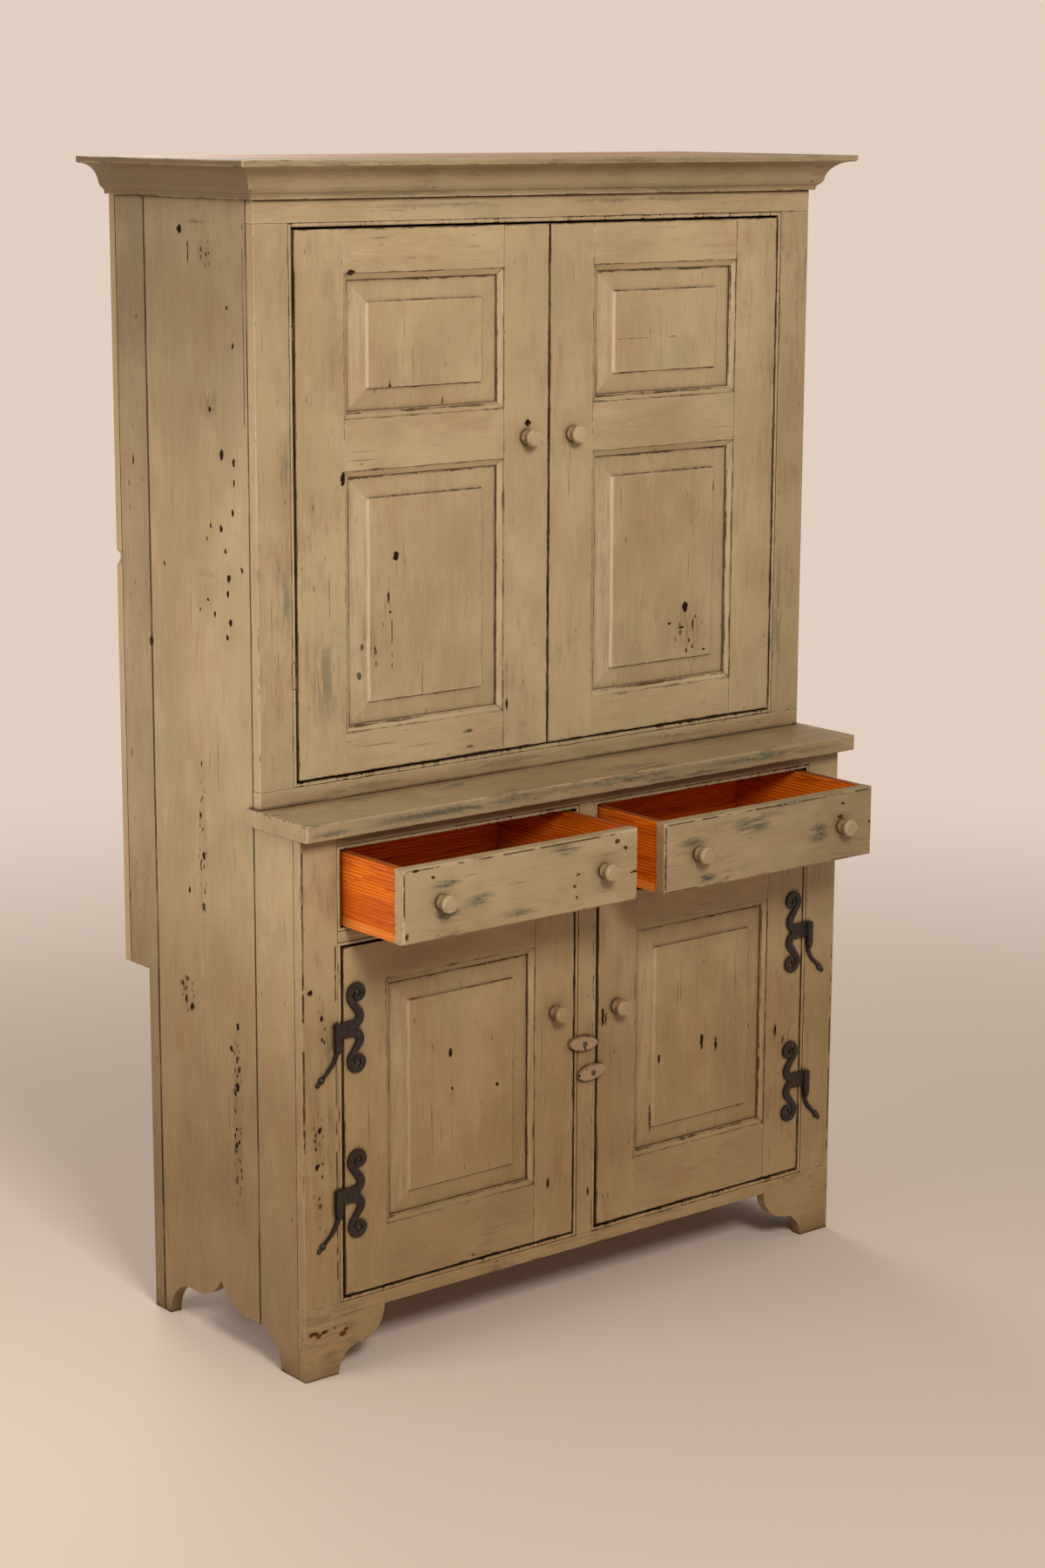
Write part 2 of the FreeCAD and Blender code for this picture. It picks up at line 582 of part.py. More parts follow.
def face_frames():
    """Base board with bracket feet, and the stiles and rails round the doors and drawers."""
    far = "case_width"
    foot = [("0", "0"), ("foot_width", "0"),
            ("foot_width + foot_hollow", "foot_hollow", "foot_hollow_radius", 1),
            ("foot_width + foot_hollow + foot_lobe", "apron_height", "foot_lobe_radius", -1)]
    mirrored = [(f"{far} - ({corner[0]})", corner[1]) for corner in reversed(foot)]
    mirrored[1] += ("foot_lobe_radius", -1)
    mirrored[2] += ("foot_hollow_radius", 1)
    base = outline("front_base_board", "XZ_Plane",
                   foot + mirrored + [(far, "base_height"), ("0", "base_height")], "frame_thickness", True)
    place(base, "0", "0", "0")
    node("front_base_board", base)
    lower, upper = ("0", "frame_thickness"), ("upper_setback", "upper_frame_back")
    tall = ("base_height", "lower_height")
    upper_tall = ("upper_opening_bottom", "upper_opening_top")
    node("lower_stiles",
         board("lower_left_stile", ("0", "lower_stile_width"), lower, tall),
         board("lower_right_stile", ("lower_opening_right", far), lower, tall))
    centre = board("centre_blank", ("centre_left", "centre_right"), lower,
                   ("base_height", "drawer_opening_top"))
    holes = [rod(f"{name}_hole", "screw_radius + fixed_clearance", "screw_grip + fixed_clearance",
                 x, "0", z, "back")
             for name, x, z, tilt in BUTTONS]
    node("centre_stile", cut("centre_stile", centre, fuse("button_holes", *holes)))
    node("lower_rails",
         board("lower_top_rail", ("lower_stile_width", "lower_opening_right"), lower,
               ("drawer_opening_top", "lower_height")),
         *[board(f"{side}_drawer_rail", x, lower, ("door_opening_top", "drawer_opening_bottom"))
           for side, x in LOWER_OPENINGS.items()])
    node("upper_stiles",
         board("upper_left_stile", ("0", "upper_stile_width"), upper, upper_tall),
         board("upper_right_stile", ("upper_opening_right", far), upper, upper_tall))
    node("upper_rails",
         board("upper_top_rail", ("0", far), upper, ("upper_opening_top", "case_top")),
         board("upper_bottom_rail", ("0", far), upper, ("step_level", "upper_opening_bottom")))


def beads():
    """Beads round the upper opening, let out for the hinge barrels, and round the four lower openings."""
    strips = bead("upper_bead", ("upper_stile_width", "upper_opening_right"),
                  ("upper_opening_bottom", "upper_opening_top"), "upper_setback")
    for side, x in (("left", "upper_stile_width"), ("right", "upper_opening_right - bead_width")):
        gaps = [board(f"{side}_bead_gap{index}", (x, f"{x} + bead_width"),
                      ("upper_setback", "upper_setback + bead_depth + butt_leaf_width"),
                      (f"{z} - butt_knuckle_gap", f"{z} + butt_length + butt_knuckle_gap"))
                for index, z in enumerate(BUTT_HEIGHTS)]
        strips[side] = cut(f"upper_bead_{side}_cut", strips[side], fuse(f"{side}_bead_gaps", *gaps))
    node("upper_beads", *strips.values())
    lower = []
    for side, x in LOWER_OPENINGS.items():
        for name, z in (("drawer", ("drawer_opening_bottom", "drawer_opening_top")),
                        ("door", ("base_height", "door_opening_top"))):
            lower += bead(f"{side}_{name}_bead", x, z, "0").values()
    node("lower_beads", *lower)


def inside():
    """Step top, decks, shelves on their battens, top boards, backs, and the drawers' runners."""
    ear = "upper_frame_back + step_ear_length"
    past = "case_width + step_side_overhang"
    step = outline("step_top", "XY_Plane",
                   [("-step_side_overhang", "-step_front_overhang"), (past, "-step_front_overhang"),
                    (past, ear), ("case_width", ear), ("case_width", "upper_frame_back"),
                    ("0", "upper_frame_back"), ("0", ear), ("-step_side_overhang", ear)], "step_thickness")
    place(step, "0", "0", "lower_height")
    node("step_top", step)
    across = ("side_thickness", "inner_right")
    node("upper_deck", board("upper_deck", across, ("main_board_front", "back_inner"),
                             ("step_level - shelf_thickness", "step_level")))
    upper_depth = ("upper_setback + door_thickness + shelf_clearance", "back_inner")
    lower_depth = ("door_thickness + shelf_clearance", "lower_back_inner")
    upper_levels = [f"step_level + {count} * upper_shelf_pitch" for count in (1, 2)]
    node("upper_shelves", *[board(f"upper_shelf{index}", across, upper_depth,
                                  (f"{level} - shelf_thickness", level))
                            for index, level in enumerate(upper_levels)])
    node("lower_shelf", board("lower_shelf", across, lower_depth,
                              ("lower_shelf_height - shelf_thickness", "lower_shelf_height")))
    node("bottom_board", board("bottom_board", across, ("frame_thickness", "lower_back_inner"),
                               ("base_height - shelf_thickness", "base_height")))
    battens = []
    levels = [(level, upper_depth) for level in upper_levels] + [("lower_shelf_height", lower_depth)]
    ends = (("left", ("side_thickness", "side_thickness + cleat_thickness")),
            ("right", ("inner_right - cleat_thickness", "inner_right")))
    for index, (level, depth) in enumerate(levels):
        height = (f"{level} - shelf_thickness - cleat_height", f"{level} - shelf_thickness")
        battens += [board(f"{side}_cleat{index}", x, depth, height) for side, x in ends]
    node("shelf_cleats", *battens)
    top_step = "(rear_depth - upper_setback) / top_board_count"
    node("top_boards", *[board(f"top_board{index}", ("0", "case_width"),
                               (f"upper_setback + {index} * {top_step}",
                                f"upper_setback + {index + 1} * {top_step} - joint_gap"),
                               ("case_top", "total_height"))
                         for index in range(round(number("top_board_count")))])
    count = round(number("back_board_count"))
    upper_step = "case_width / back_board_count"
    upper_back = [board(f"upper_back_board{index}",
                        (f"{index} * {upper_step}",
                         f"{index + 1} * {upper_step} - joint_gap * {int(index + 1 < count)}"),
                        ("back_inner", "rear_depth"), ("notch_height", "case_top"))
                  for index in range(count)]
    bite = rod("cord_bite", "bite_radius", "back_thickness", "bite_depth - bite_radius", "back_inner",
               "bite_height", "back")
    upper_back[0] = cut("left_back_board", upper_back[0], bite)
    node("upper_back_boards", *upper_back)
    lower_step = "(case_width - 2 * side_thickness) / back_board_count"
    node("lower_back_boards", *[board(f"lower_back_board{index}",
                                      (f"side_thickness + {index} * {lower_step}",
                                       f"side_thickness + {index + 1} * {lower_step}"
                                       f" - joint_gap * {int(index + 1 < count)}"),
                                      ("lower_back_inner", "lower_depth"), ("apron_height", "notch_height"))
                                for index in range(count)])
    node("back_ledge", board("back_ledge", across, ("lower_back_inner", "back_inner"),
                             ("notch_height", "notch_height + shelf_thickness")))
    reach = "(drawer_side_inset + runner_reach)"
    along = ("frame_thickness", "back_inner")
    beam = ("runner_top - runner_height", "runner_top")
    rail = ("runner_top", "runner_top + guide_height")
    clear = "(drawer_side_inset - guide_clearance)"
    centre = ("left_drawer_x + drawer_width", "right_drawer_x")
    node("drawer_runners",
         board("left_runner", ("side_thickness", f"left_drawer_x + {reach}"), along, beam),
         board("left_guide", ("side_thickness", f"left_drawer_x + {clear}"), along, rail),
         board("centre_runner", (f"{centre[0]} - {reach}", f"{centre[1]} + {reach}"), along, beam),
         board("centre_guide", (f"{centre[0]} - {clear}", f"{centre[1]} + {clear}"), along, rail),
         board("right_runner", (f"right_drawer_x + drawer_width - {reach}", "inner_right"), along, beam),
         board("right_guide", (f"right_drawer_x + drawer_width - {clear}", "inner_right"), along, rail))


def cornice():
    """Moulded cornice across the front and along both sides, mitred at the corners."""
    bed = ("cornice_bed_depth", "cornice_bed_height")
    step = ("cornice_bed_depth + cornice_step_depth", "cornice_bed_height + cornice_step_height")
    top = "cornice_height - cornice_fillet"
    profile = [("0", "0"), ("cornice_foot", "0"), bed + ("cornice_bed_radius", 1), step,
               ("cornice_projection - cornice_lip", f"{top} - cornice_lip / 2", "cornice_cove_radius", 1),
               ("cornice_projection", top), ("cornice_projection", "cornice_height"), ("0", "cornice_height")]
    outward = [(f"-({corner[0]})",) + corner[1:3] + tuple(-swing for swing in corner[3:])
               for corner in profile]
    reach = "cornice_projection"
    front = outline("cornice_front_run", "YZ_Plane", outward, f"case_width + 2 * {reach}")
    place(front, f"-{reach}", "upper_setback", "cornice_base")
    ends = []
    for side, degrees, x in (("left", 135, "0"), ("right", -45, "case_width")):
        mitre = doc.addObject("Part::Box", f"cornice_{side}_mitre")
        for prop in ("Length", "Width"):
            bind(mitre, prop, f"2 * {reach}")
        bind(mitre, "Height", "cornice_height")
        turn(mitre, UP, degrees)
        place(mitre, x, "upper_setback", "cornice_base")
        ends.append(mitre)
    node("cornice_front", cut("cornice_front", front, fuse("cornice_mitres", *ends)))
    returns = []
    for side, corners, x in (("left", outward, "0"), ("right", profile, "case_width")):
        run = outline(f"cornice_{side}_run", "XZ_Plane", corners,
                      f"rear_depth - upper_setback + {reach}", True)
        place(run, x, f"upper_setback - {reach}", "cornice_base")
        mitre = doc.addObject("Part::Box", f"cornice_{side}_return_mitre")
        for prop in ("Length", "Width"):
            bind(mitre, prop, f"2 * {reach}")
        bind(mitre, "Height", "cornice_height")
        turn(mitre, UP, 225)
        place(mitre, x, "upper_setback", "cornice_base")
        returns.append(cut(f"cornice_{side}", run, mitre))
    node("cornice_returns", *returns)


def drawers():
    """Two drawers: front, box of two sides and a back, bottom let into them, and two knobs."""
    for side in ("left", "right"):
        name = f"{side}_drawer"
        x, face = f"{name}_x", f"-{name}_open"
        width = (x, f"{x} + drawer_width")
        height = ("drawer_bottom", "drawer_top")
        middle = f"{x} + drawer_width / 2"
        knob_z = "(drawer_bottom + drawer_top) / 2"
        knob_x = [f"{middle} - drawer_knob_spacing / 2", f"{middle} + drawer_knob_spacing / 2"]
        back_face = f"{face} + drawer_front_thickness"
        blank = board(f"{name}_front_blank", width, (face, back_face), height)
        doc.recompute()
        front_y = number(f"{face} - origin_depth")
        worn = doc.addObject("Part::Chamfer", f"{name}_front_worn")
        worn.Base = blank
        size = number("drawer_chamfer")
        worn.Edges = [(index, size, size) for index, edge in enumerate(blank.Shape.Edges, start=1)
                      if abs(edge.CenterOfMass.y - front_y) < SAME_PLANE]
        inner = (f"{x} + drawer_side_inset + drawer_side_thickness",
                 f"{x} + drawer_width - drawer_side_inset - drawer_side_thickness")
        floor = ("drawer_bottom + drawer_bottom_rise",
                 "drawer_bottom + drawer_bottom_rise + drawer_bottom_thickness")
        rear = f"{face} + {name}_length"
        bottom_x = (f"{inner[0]} - drawer_groove", f"{inner[1]} + drawer_groove")
        bottom_y = (f"{back_face} - drawer_groove", rear)
        cuts = [board(f"{name}_groove", bottom_x, bottom_y, floor)]
        cuts += [tenon_hole(f"{name}_knob_hole{index}", at, face, knob_z) for index, at in enumerate(knob_x)]
        tools = fuse(f"{name}_cuts", *cuts)
        node(f"{name}_front", cut(f"{name}_front", worn, tools))
        groove = cuts[0]
        box = []
        for edge, span in (("left", (f"{x} + drawer_side_inset", inner[0])),
                           ("right", (inner[1], f"{x} + drawer_width - drawer_side_inset"))):
            blank = board(f"{name}_{edge}_side_blank", span, (back_face, rear), height)
            box.append(cut(f"{name}_{edge}_side", blank, groove))
        box.append(board(f"{name}_back", inner, (f"{rear} - drawer_side_thickness", rear),
                         (floor[1], "drawer_top - drawer_back_drop")))
        node(f"{name}_box", *box)
        node(f"{name}_bottom", board(f"{name}_bottom", bottom_x, bottom_y, floor))
        node(f"{name}_knobs", *[knob(f"{name}_knob{index}", at, face, knob_z)
                                for index, at in enumerate(knob_x)])


def upper_doors():
    """Two upper doors of two raised panels each, with a knob, and a keyhole in the left one."""
    rails = [("upper_door_bottom", "upper_door_bottom + upper_door_bottom_rail"),
             ("mid_rail_top - upper_door_mid_rail", "mid_rail_top"),
             ("upper_door_top - upper_door_top_rail", "upper_door_top")]
    panels = [(rails[0][1], rails[1][0]), (rails[1][1], rails[2][0])]
    knob_z = "mid_rail_top - upper_knob_drop"
    for side, x in (("left", "upper_door_left"), ("right", "upper_door_right")):
        name = f"upper_{side}_door"
        width = (x, f"{x} + upper_door_width")
        meeting = "right" if side == "left" else "left"
        knob_x = f"{width[1]} - upper_knob_inset" if side == "left" else f"{width[0]} + upper_knob_inset"
        hole = tenon_hole(f"{name}_knob_hole", knob_x, "upper_setback", knob_z)
        if side == "left":
            hole = fuse(f"{name}_holes", hole, keyhole(f"{width[1]} - keyhole_inset"))
        framed_door(name, width, ("upper_door_bottom", "upper_door_top"), "upper_setback", "upper_door_stile",
                    rails, panels, (meeting, hole))
        node(f"{name}_knob", knob(f"{name}_knob", knob_x, "upper_setback", knob_z))


def keyhole(x):
    """A square hole set cornerwise, part way through the stile."""
    hole = doc.addObject("Part::Box", "keyhole")
    for prop in ("Length", "Height"):
        bind(hole, prop, "keyhole_size")
    bind(hole, "Width", "tenon_length")
    hole.Placement.Rotation = FreeCAD.Rotation(ALONG_Y, 45)
    place(hole, f"{x} - keyhole_size / sqrt(2)", "upper_setback", "mid_rail_top - keyhole_drop")
    return hole


def lower_doors():
    """Two lower doors of one raised panel each, with a knob and two ram's-horn leaves."""
    rails = [("lower_door_bottom", "lower_door_bottom + lower_door_bottom_rail"),
             ("lower_door_top - lower_door_top_rail", "lower_door_top")]
    panels = [(rails[0][1], rails[1][0])]
    for side, x in (("left", "lower_door_left"), ("right", "lower_door_right")):
        name = f"lower_{side}_door"
        width = (x, f"{x} + lower_door_width")
        meeting = "right" if side == "left" else "left"
        knob_x = f"{width[1]} - lower_knob_inset" if side == "left" else f"{width[0]} + lower_knob_inset"
        knob_z = f"lower_door_top - {side}_knob_drop"
        framed_door(name, width, ("lower_door_bottom", "lower_door_top"), "0", "lower_door_stile",
                    rails, panels, (meeting, tenon_hole(f"{name}_knob_hole", knob_x, "0", knob_z)))
        node(f"{name}_knob", knob(f"{name}_knob", knob_x, "0", knob_z))
        node(f"{name}_hinge_leaves", *[placed(f"{name}_leaf{index}", horn_leaf(side), side, height)
                                       for index, height in enumerate(HINGE_HEIGHTS)])


def placed(name, shape, side, height):
    """A shape drawn about the hinge pin, put on the left or the right hinge line."""
    piece = doc.addObject("Part::Feature", name)
    piece.Shape = shape
    place(piece, HINGE_LINES[side], "hinge_axis_y", height)
    return piece


def mirrored_for(side, shape):
    return shape if side == "left" else shape.mirror(FreeCAD.Vector(), ALONG_X)


def horn_leaf(side):
    """Ram's-horn leaf: barrel round the pin, plate on the door and two scrolls, drawn about the pin."""
    length = number("hinge_barrel_length")
    face = number("-hinge_axis_y")
    thickness = number("horn_thickness")
    plate_end = number("hinge_plate_length")
    eye_x, eye_z = number("horn_eye_reach"), number("horn_eye_rise")
    outer, inner = number("horn_outer_radius"), number("horn_inner_radius")
    bulge = number("horn_width") / 2
    bend = length / 2 + bulge
    path = [(plate_end + bulge * out, length * up) for out, up in HORN_ROOT]
    path += [(plate_end + bulge * out, bend + (eye_z - bend) * up) for out, up in HORN_BEND]
    for index in range(SCROLL_STEPS + 1):
        share = index / SCROLL_STEPS
        angle = math.radians(SCROLL_START - SCROLL_SWEEP * share)
        radius = outer + (inner - outer) * share ** SCROLL_CURVE
        path.append((eye_x + radius * math.cos(angle), eye_z + radius * math.sin(angle)))
    horn = ribbon(path, HORN_WIDTHS, thickness)
    horn.translate(FreeCAD.Vector(0, face, 0))
    plate = Part.makeBox(plate_end, thickness, length, FreeCAD.Vector(0, face - thickness, -length / 2))
    start_point = FreeCAD.Vector(0, 0, -length / 2)
    barrel = Part.makeCylinder(number("hinge_barrel_radius"), length, start_point)
    bore = Part.makeCylinder(number("hinge_pin_radius + running_clearance"), length, start_point)
    leaf = plate.multiFuse([barrel, horn, horn.mirror(FreeCAD.Vector(), UP)]).cut(bore).removeSplitter()
    return mirrored_for(side, leaf)


def pintle(side):
    """Rat-tail pintle: pin, fixed barrel that narrows below, and a tail along the stile to a bud."""
    length = number("hinge_barrel_length")
    gap = number("hinge_face_gap")
    face = number("-hinge_axis_y")
    fixed = number("pintle_length")
    reach, drop = number("tail_reach"), number("tail_drop")
    bud, tip = number("tail_bud_radius"), number("tail_tip_length")
    top = -length / 2 - gap
    taper = fixed * TAPER_LENGTH
    radius = number("hinge_barrel_radius")
    low_end = FreeCAD.Vector(0, 0, top - fixed)
    barrel_end = low_end + UP * taper
    pin = Part.makeCylinder(number("hinge_pin_radius"), length + gap + fixed - taper, barrel_end)
    barrel = Part.makeCylinder(radius, fixed - taper, barrel_end)
    cone = Part.makeCone(radius * TAPER_END, radius, taper, low_end)
    foot = Part.makeBox(number("tail_width"), face, fixed - taper,
                        barrel_end - ALONG_X * (number("tail_width") / 2))
    path = [(0, top - fixed / 5), (-reach / 100, top - fixed)]
    path += [(-reach * out, -drop * down) for out, down in TAIL_LINE]
    tail = ribbon(path, TAIL_WIDTHS, number("tail_thickness"))
    tail.translate(FreeCAD.Vector(0, face, 0))
    end = FreeCAD.Vector(-reach, face, -drop)
    knot = Part.makeSphere(bud, end)
    neck = Part.makeCylinder(bud * BUD_NECK, tip, end, BUD_LEAN)
    ball = Part.makeSphere(bud * BUD_BALL, end + BUD_LEAN * (tip / BUD_LEAN.Length))
    past = knot.multiFuse([neck, ball])
    half = Part.makeBox(8 * bud, 4 * bud, 8 * bud, end - FreeCAD.Vector(4 * bud, 4 * bud, 4 * bud))
    whole = pin.multiFuse([barrel, cone, foot, tail, past.common(half)]).removeSplitter()
    return mirrored_for(side, whole)


def lower_hinge_pintles():
    node("rat_tail_pintles", *[placed(f"{side}_pintle{index}", pintle(side), side, height)
                               for side in HINGE_LINES for index, height in enumerate(HINGE_HEIGHTS)])


def upper_hinges():
    """Butt hinges of the upper doors, their barrels set in line with the bead."""
    knuckle = "(butt_length - 2 * butt_knuckle_gap) / 3"
    frame_leaves = []
    for side, edge in (("left", "upper_stile_width"), ("right", "upper_opening_right")):
        sign = 1 if side == "left" else -1
        axis = f"{edge} + {sign} * bead_width / 2"
        door_edge = f"{edge} + {sign} * (bead_width + door_gap)"
        depth = ("butt_axis_y", "butt_axis_y + butt_leaf_width")
        door_leaves = []
        for index, z in enumerate(BUTT_HEIGHTS):
            name = f"{side}_butt{index}"
            middle = f"{z} + {knuckle} + butt_knuckle_gap"
            span = (z, f"{z} + butt_length")
            leaf = board(f"{name}_frame_leaf", ordered(edge, f"{edge} + {sign} * butt_leaf_thickness", sign),
                         depth, span)
            rolls = [rod(f"{name}_roll{end}", "bead_width / 2", knuckle, axis, "butt_axis_y", low)
                     for end, low in enumerate((z, f"{middle} + {knuckle} + butt_knuckle_gap"))]
            relief = rod(f"{name}_relief", "bead_width / 2 + butt_knuckle_gap",
                         f"{knuckle} + 2 * butt_knuckle_gap", axis, "butt_axis_y",
                         f"{middle} - butt_knuckle_gap")
            bore = rod(f"{name}_frame_bore", "butt_pin_radius + fixed_clearance", "butt_length", axis,
                       "butt_axis_y", z)
            frame_leaves.append(cut(f"{name}_frame", fuse(f"{name}_frame_whole", leaf, *rolls),
                                    fuse(f"{name}_frame_cuts", relief, bore)))
            frame_leaves.append(rod(f"{name}_pin", "butt_pin_radius", "butt_length", axis, "butt_axis_y", z))
            leaf = board(f"{name}_door_leaf",
                         ordered(f"{door_edge} - {sign} * butt_leaf_thickness", door_edge, sign), depth, span)
            web = board(f"{name}_web", ordered(axis, door_edge, sign),
                        ("butt_axis_y", "butt_axis_y + butt_leaf_thickness"),
                        (middle, f"{middle} + {knuckle}"))
            roll = rod(f"{name}_door_roll", "bead_width / 2", knuckle, axis, "butt_axis_y", middle)
            bore = rod(f"{name}_door_bore", "butt_pin_radius + running_clearance", "butt_length", axis,
                       "butt_axis_y", z)
            door_leaves.append(cut(f"{name}_door", fuse(f"{name}_door_whole", leaf, web, roll), bore))
        node(f"upper_{side}_door_hinge_leaves", *door_leaves)
    node("upper_hinge_frame_leaves", *frame_leaves)


def ordered(first, second, sign):
    return (first, second) if sign > 0 else (second, first)


def turn_buttons():
    """Two oval buttons that turn on screws in the centre stile."""
    screws = []
    for name, x, z, tilt in BUTTONS:
        body = doc.addObject("PartDesign::Body", name)
        sketch = body.newObject("Sketcher::SketchObject", f"{name}_sketch")
        support = [feature for feature in body.Origin.OriginFeatures if feature.Role == "XZ_Plane"][0]
        sketch.AttachmentSupport = [(support, "")]
        sketch.MapMode = "FlatFace"
        half_length, half_width = number("button_length / 2"), number("button_width / 2")
        centre = FreeCAD.Vector()
        oval = Part.Ellipse(FreeCAD.Vector(half_length, 0, 0), FreeCAD.Vector(0, half_width, 0), centre)
        sketch.addGeometry(oval, False)
        sketch.addGeometry(Part.Circle(centre, UP, number("screw_radius + running_clearance")), False)
        pad = body.newObject("PartDesign::Pad", f"{name}_pad")
        pad.Profile = sketch
        bind(pad, "Length", "button_thickness")
        doc.recompute()
        longest, middle = number("button_length"), -number("button_thickness / 2")
        rim = [f"Edge{index}" for index, edge in enumerate(pad.Shape.Edges, start=1)
               if edge.Length > longest and edge.CenterOfMass.y < middle]
        soft = body.newObject("PartDesign::Fillet", f"{name}_soft")
        soft.Base = (pad, rim)
        bind(soft, "Radius", "button_edge")
        turn(body, ALONG_Y, -number(tilt))
        place(body, x, "-button_gap", z)
        node(name, body)
        under_head = "button_gap + button_thickness + running_clearance"
        shank = rod(f"{name}_shank", "screw_radius", f"{under_head} + screw_grip",
                    x, f"-({under_head})", z, "back")
        head = rod(f"{name}_head", "screw_head_radius", "screw_head_height", x,
                   f"-({under_head} + screw_head_height)", z, "back")
        screws.append(fuse(f"{name}_screw", shank, head))
    node("turn_button_screws", *screws)


LOWER_OPENINGS = {"left": ("lower_stile_width", "centre_left"),
                  "right": ("centre_right", "lower_opening_right")}
HINGE_LINES = {"left": "lower_stile_width - hinge_axis_inset",
               "right": "lower_opening_right + hinge_axis_inset"}
HINGE_HEIGHTS = ("hinge_height_top", "hinge_height_bottom")
BUTT_HEIGHTS = ("upper_door_bottom + butt_inset", "upper_door_top - butt_inset - butt_length")
BUTTONS = (("upper_turn_button", "case_width / 2 - upper_button_shift",
            "upper_button_height", "upper_button_tilt"),
           ("lower_turn_button", "case_width / 2 + lower_button_shift",
            "lower_button_height", "lower_button_tilt"))

side_boards()
face_frames()
beads()
inside()
cornice()
drawers()
upper_doors()
lower_doors()
lower_hinge_pintles()
upper_hinges()
turn_buttons()
doc.recompute()

for piece in doc.Objects:
    if "Invalid" in piece.State or "Error" in piece.State:
        raise RuntimeError(f"{piece.Name} did not build: {piece.State}")
for piece in nodes:
    if piece.Shape.isNull() or not piece.Shape.isValid() or not piece.Shape.Solids:
        raise RuntimeError(f"{piece.Label} has no valid solid")

os.makedirs("parts", exist_ok=True)
for piece in nodes:
    piece.Shape.exportStep(f"parts/{piece.Label}.step")
print(len(nodes), "sub-parts,", sum(len(piece.Shape.Solids) for piece in nodes), "solids")
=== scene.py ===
"""Looks of the step-back cupboard.

Worn olive-tan paint over pine, bare drawer boxes and black iron hinges.
"""
import math
from types import SimpleNamespace

import bpy
from mathutils import Matrix, Vector

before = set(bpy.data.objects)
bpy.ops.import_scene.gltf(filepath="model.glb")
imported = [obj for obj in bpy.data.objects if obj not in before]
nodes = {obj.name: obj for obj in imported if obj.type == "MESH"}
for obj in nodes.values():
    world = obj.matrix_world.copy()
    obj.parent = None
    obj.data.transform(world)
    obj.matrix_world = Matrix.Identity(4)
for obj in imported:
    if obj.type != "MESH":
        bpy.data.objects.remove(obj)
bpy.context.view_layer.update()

# Camera, as the photograph was taken: place in metres, angles in degrees, focal length in pixels
CAMERA_PLACE = Vector((-3.4274, -4.1758, 2.0625))
CAMERA_YAW = 39.307
CAMERA_PITCH = 12.093
CAMERA_ROLL = 0.252
FOCAL_PIXELS = 3631.58
IMAGE_HEIGHT = 1800
SENSOR = 36.0

# Colours of the finish, as seen (sRGB, 0 to 255)
PAINT = (172, 148, 108)
PAINT_LIGHT = (190, 167, 128)
PAINT_DARK = (142, 117, 80)
PAINT_OLIVE = (154, 141, 100)
PAINT_RUBBED = (176, 138, 102)
# Pale of thin, rubbed paint on edges, also used as a painted highlight
PAINT_PALE_AND_HIGHLIGHT = (214, 192, 158)
# Colour of the painted highlight on left edges
PAINTED_GLINT_COLOUR = (232, 212, 178)
GRIME = (108, 80, 48)
GLAZE = (50, 34, 20)
FLECK = (98, 66, 40)
CHIP = (38, 24, 14)
CHIP_RED = (116, 66, 38)
SMUDGE = (84, 96, 78)
SMUDGE_DARK = (50, 50, 36)
BARE_PINE = (192, 148, 100)
BARE_PINE_DARK = (152, 106, 64)
DRAWER_PINE = (236, 121, 14)
DRAWER_PINE_DARK = (172, 67, 3)
DRAWER_PINE_PALE = (226, 138, 58)
DRAWER_PINE_WORN = (104, 54, 22)
DRAWER_FLOOR = (214, 104, 40)
DRAWER_FLOOR_DARK = (168, 74, 22)
IRON = (38, 31, 26)
IRON_LIGHT = (66, 58, 52)
BUTTON_PAINT = (148, 120, 90)
BUTTON_RUBBED = (154, 122, 90)
STEEL = (120, 110, 96)
BACKDROP = (225, 208, 193)
FLOOR = (214, 196, 180)
# Painted shade: share of each colour that is left near the floor, where less light falls, and the heights
# between which this fades out
LOW_PAINTED_SHADE = (0.765, 0.685, 0.565, 1.0)
UNCHANGED = (1.0, 1.0, 1.0, 1.0)
LOW_PAINTED_SHADE_FROM = 0.3
LOW_PAINTED_SHADE_TO = 1.02

# Places on the cupboard, in mm. Marks (chips), pits and rubs are given by place across and up, half width
# and half height. A joint has its place across and its half width. A dash is a broken dark line: whether
# it runs up, its place, half width, start and end. A shade is painted shade, a slow darkening where less
# light falls, in metres: axis, from, to, and the share of the colour that is left.

# Left side
SIDE_MARKS = (
    (41, 1516, 5, 9), (7, 1506, 4, 7), (8, 1473, 3, 5), (12, 1424, 3, 6), (46, 1396, 4, 6),
    (75, 1399, 3, 4), (87, 1375, 2, 4), (34, 1361, 3, 4), (25, 1318, 5, 7), (29, 1292, 4, 7),
    (22, 1246, 5, 6), (86, 1277, 4, 3), (153, 1868, 6, 7), (129, 1834, 2, 20), (21, 1749, 3, 3),
    (5, 1690, 2, 6), (73, 1586, 4, 4), (114, 1000, 2, 5), (112, 843, 4, 7), (115, 757, 4, 7),
    (157, 777, 3, 6), (155, 575, 6, 6), (183, 610, 3, 5), (19, 570, 4, 7), (39, 527, 5, 5),
    (22, 465, 6, 8), (214, 1322, 3, 4), (110, 1258, 2, 3), (67, 1255, 3, 5), (-12, 1335, 4, 4),
    (259, 1185, 6, 9), (32, 1221, 4, 5),
)
SIDE_PITS = ((115, 850, 13, 135), (165, 595, 26, 40), (22, 400, 15, 170), (80, 1832, 20, 22))
SIDE_RUBS = ((72, 1596, 28, 24), (105, 1881, 32, 4), (92, 1317, 24, 5))
SIDE_DASHES = ((True, -25, 0.9, 1560, 1885), (False, 1881, 0.3, 75, 138))
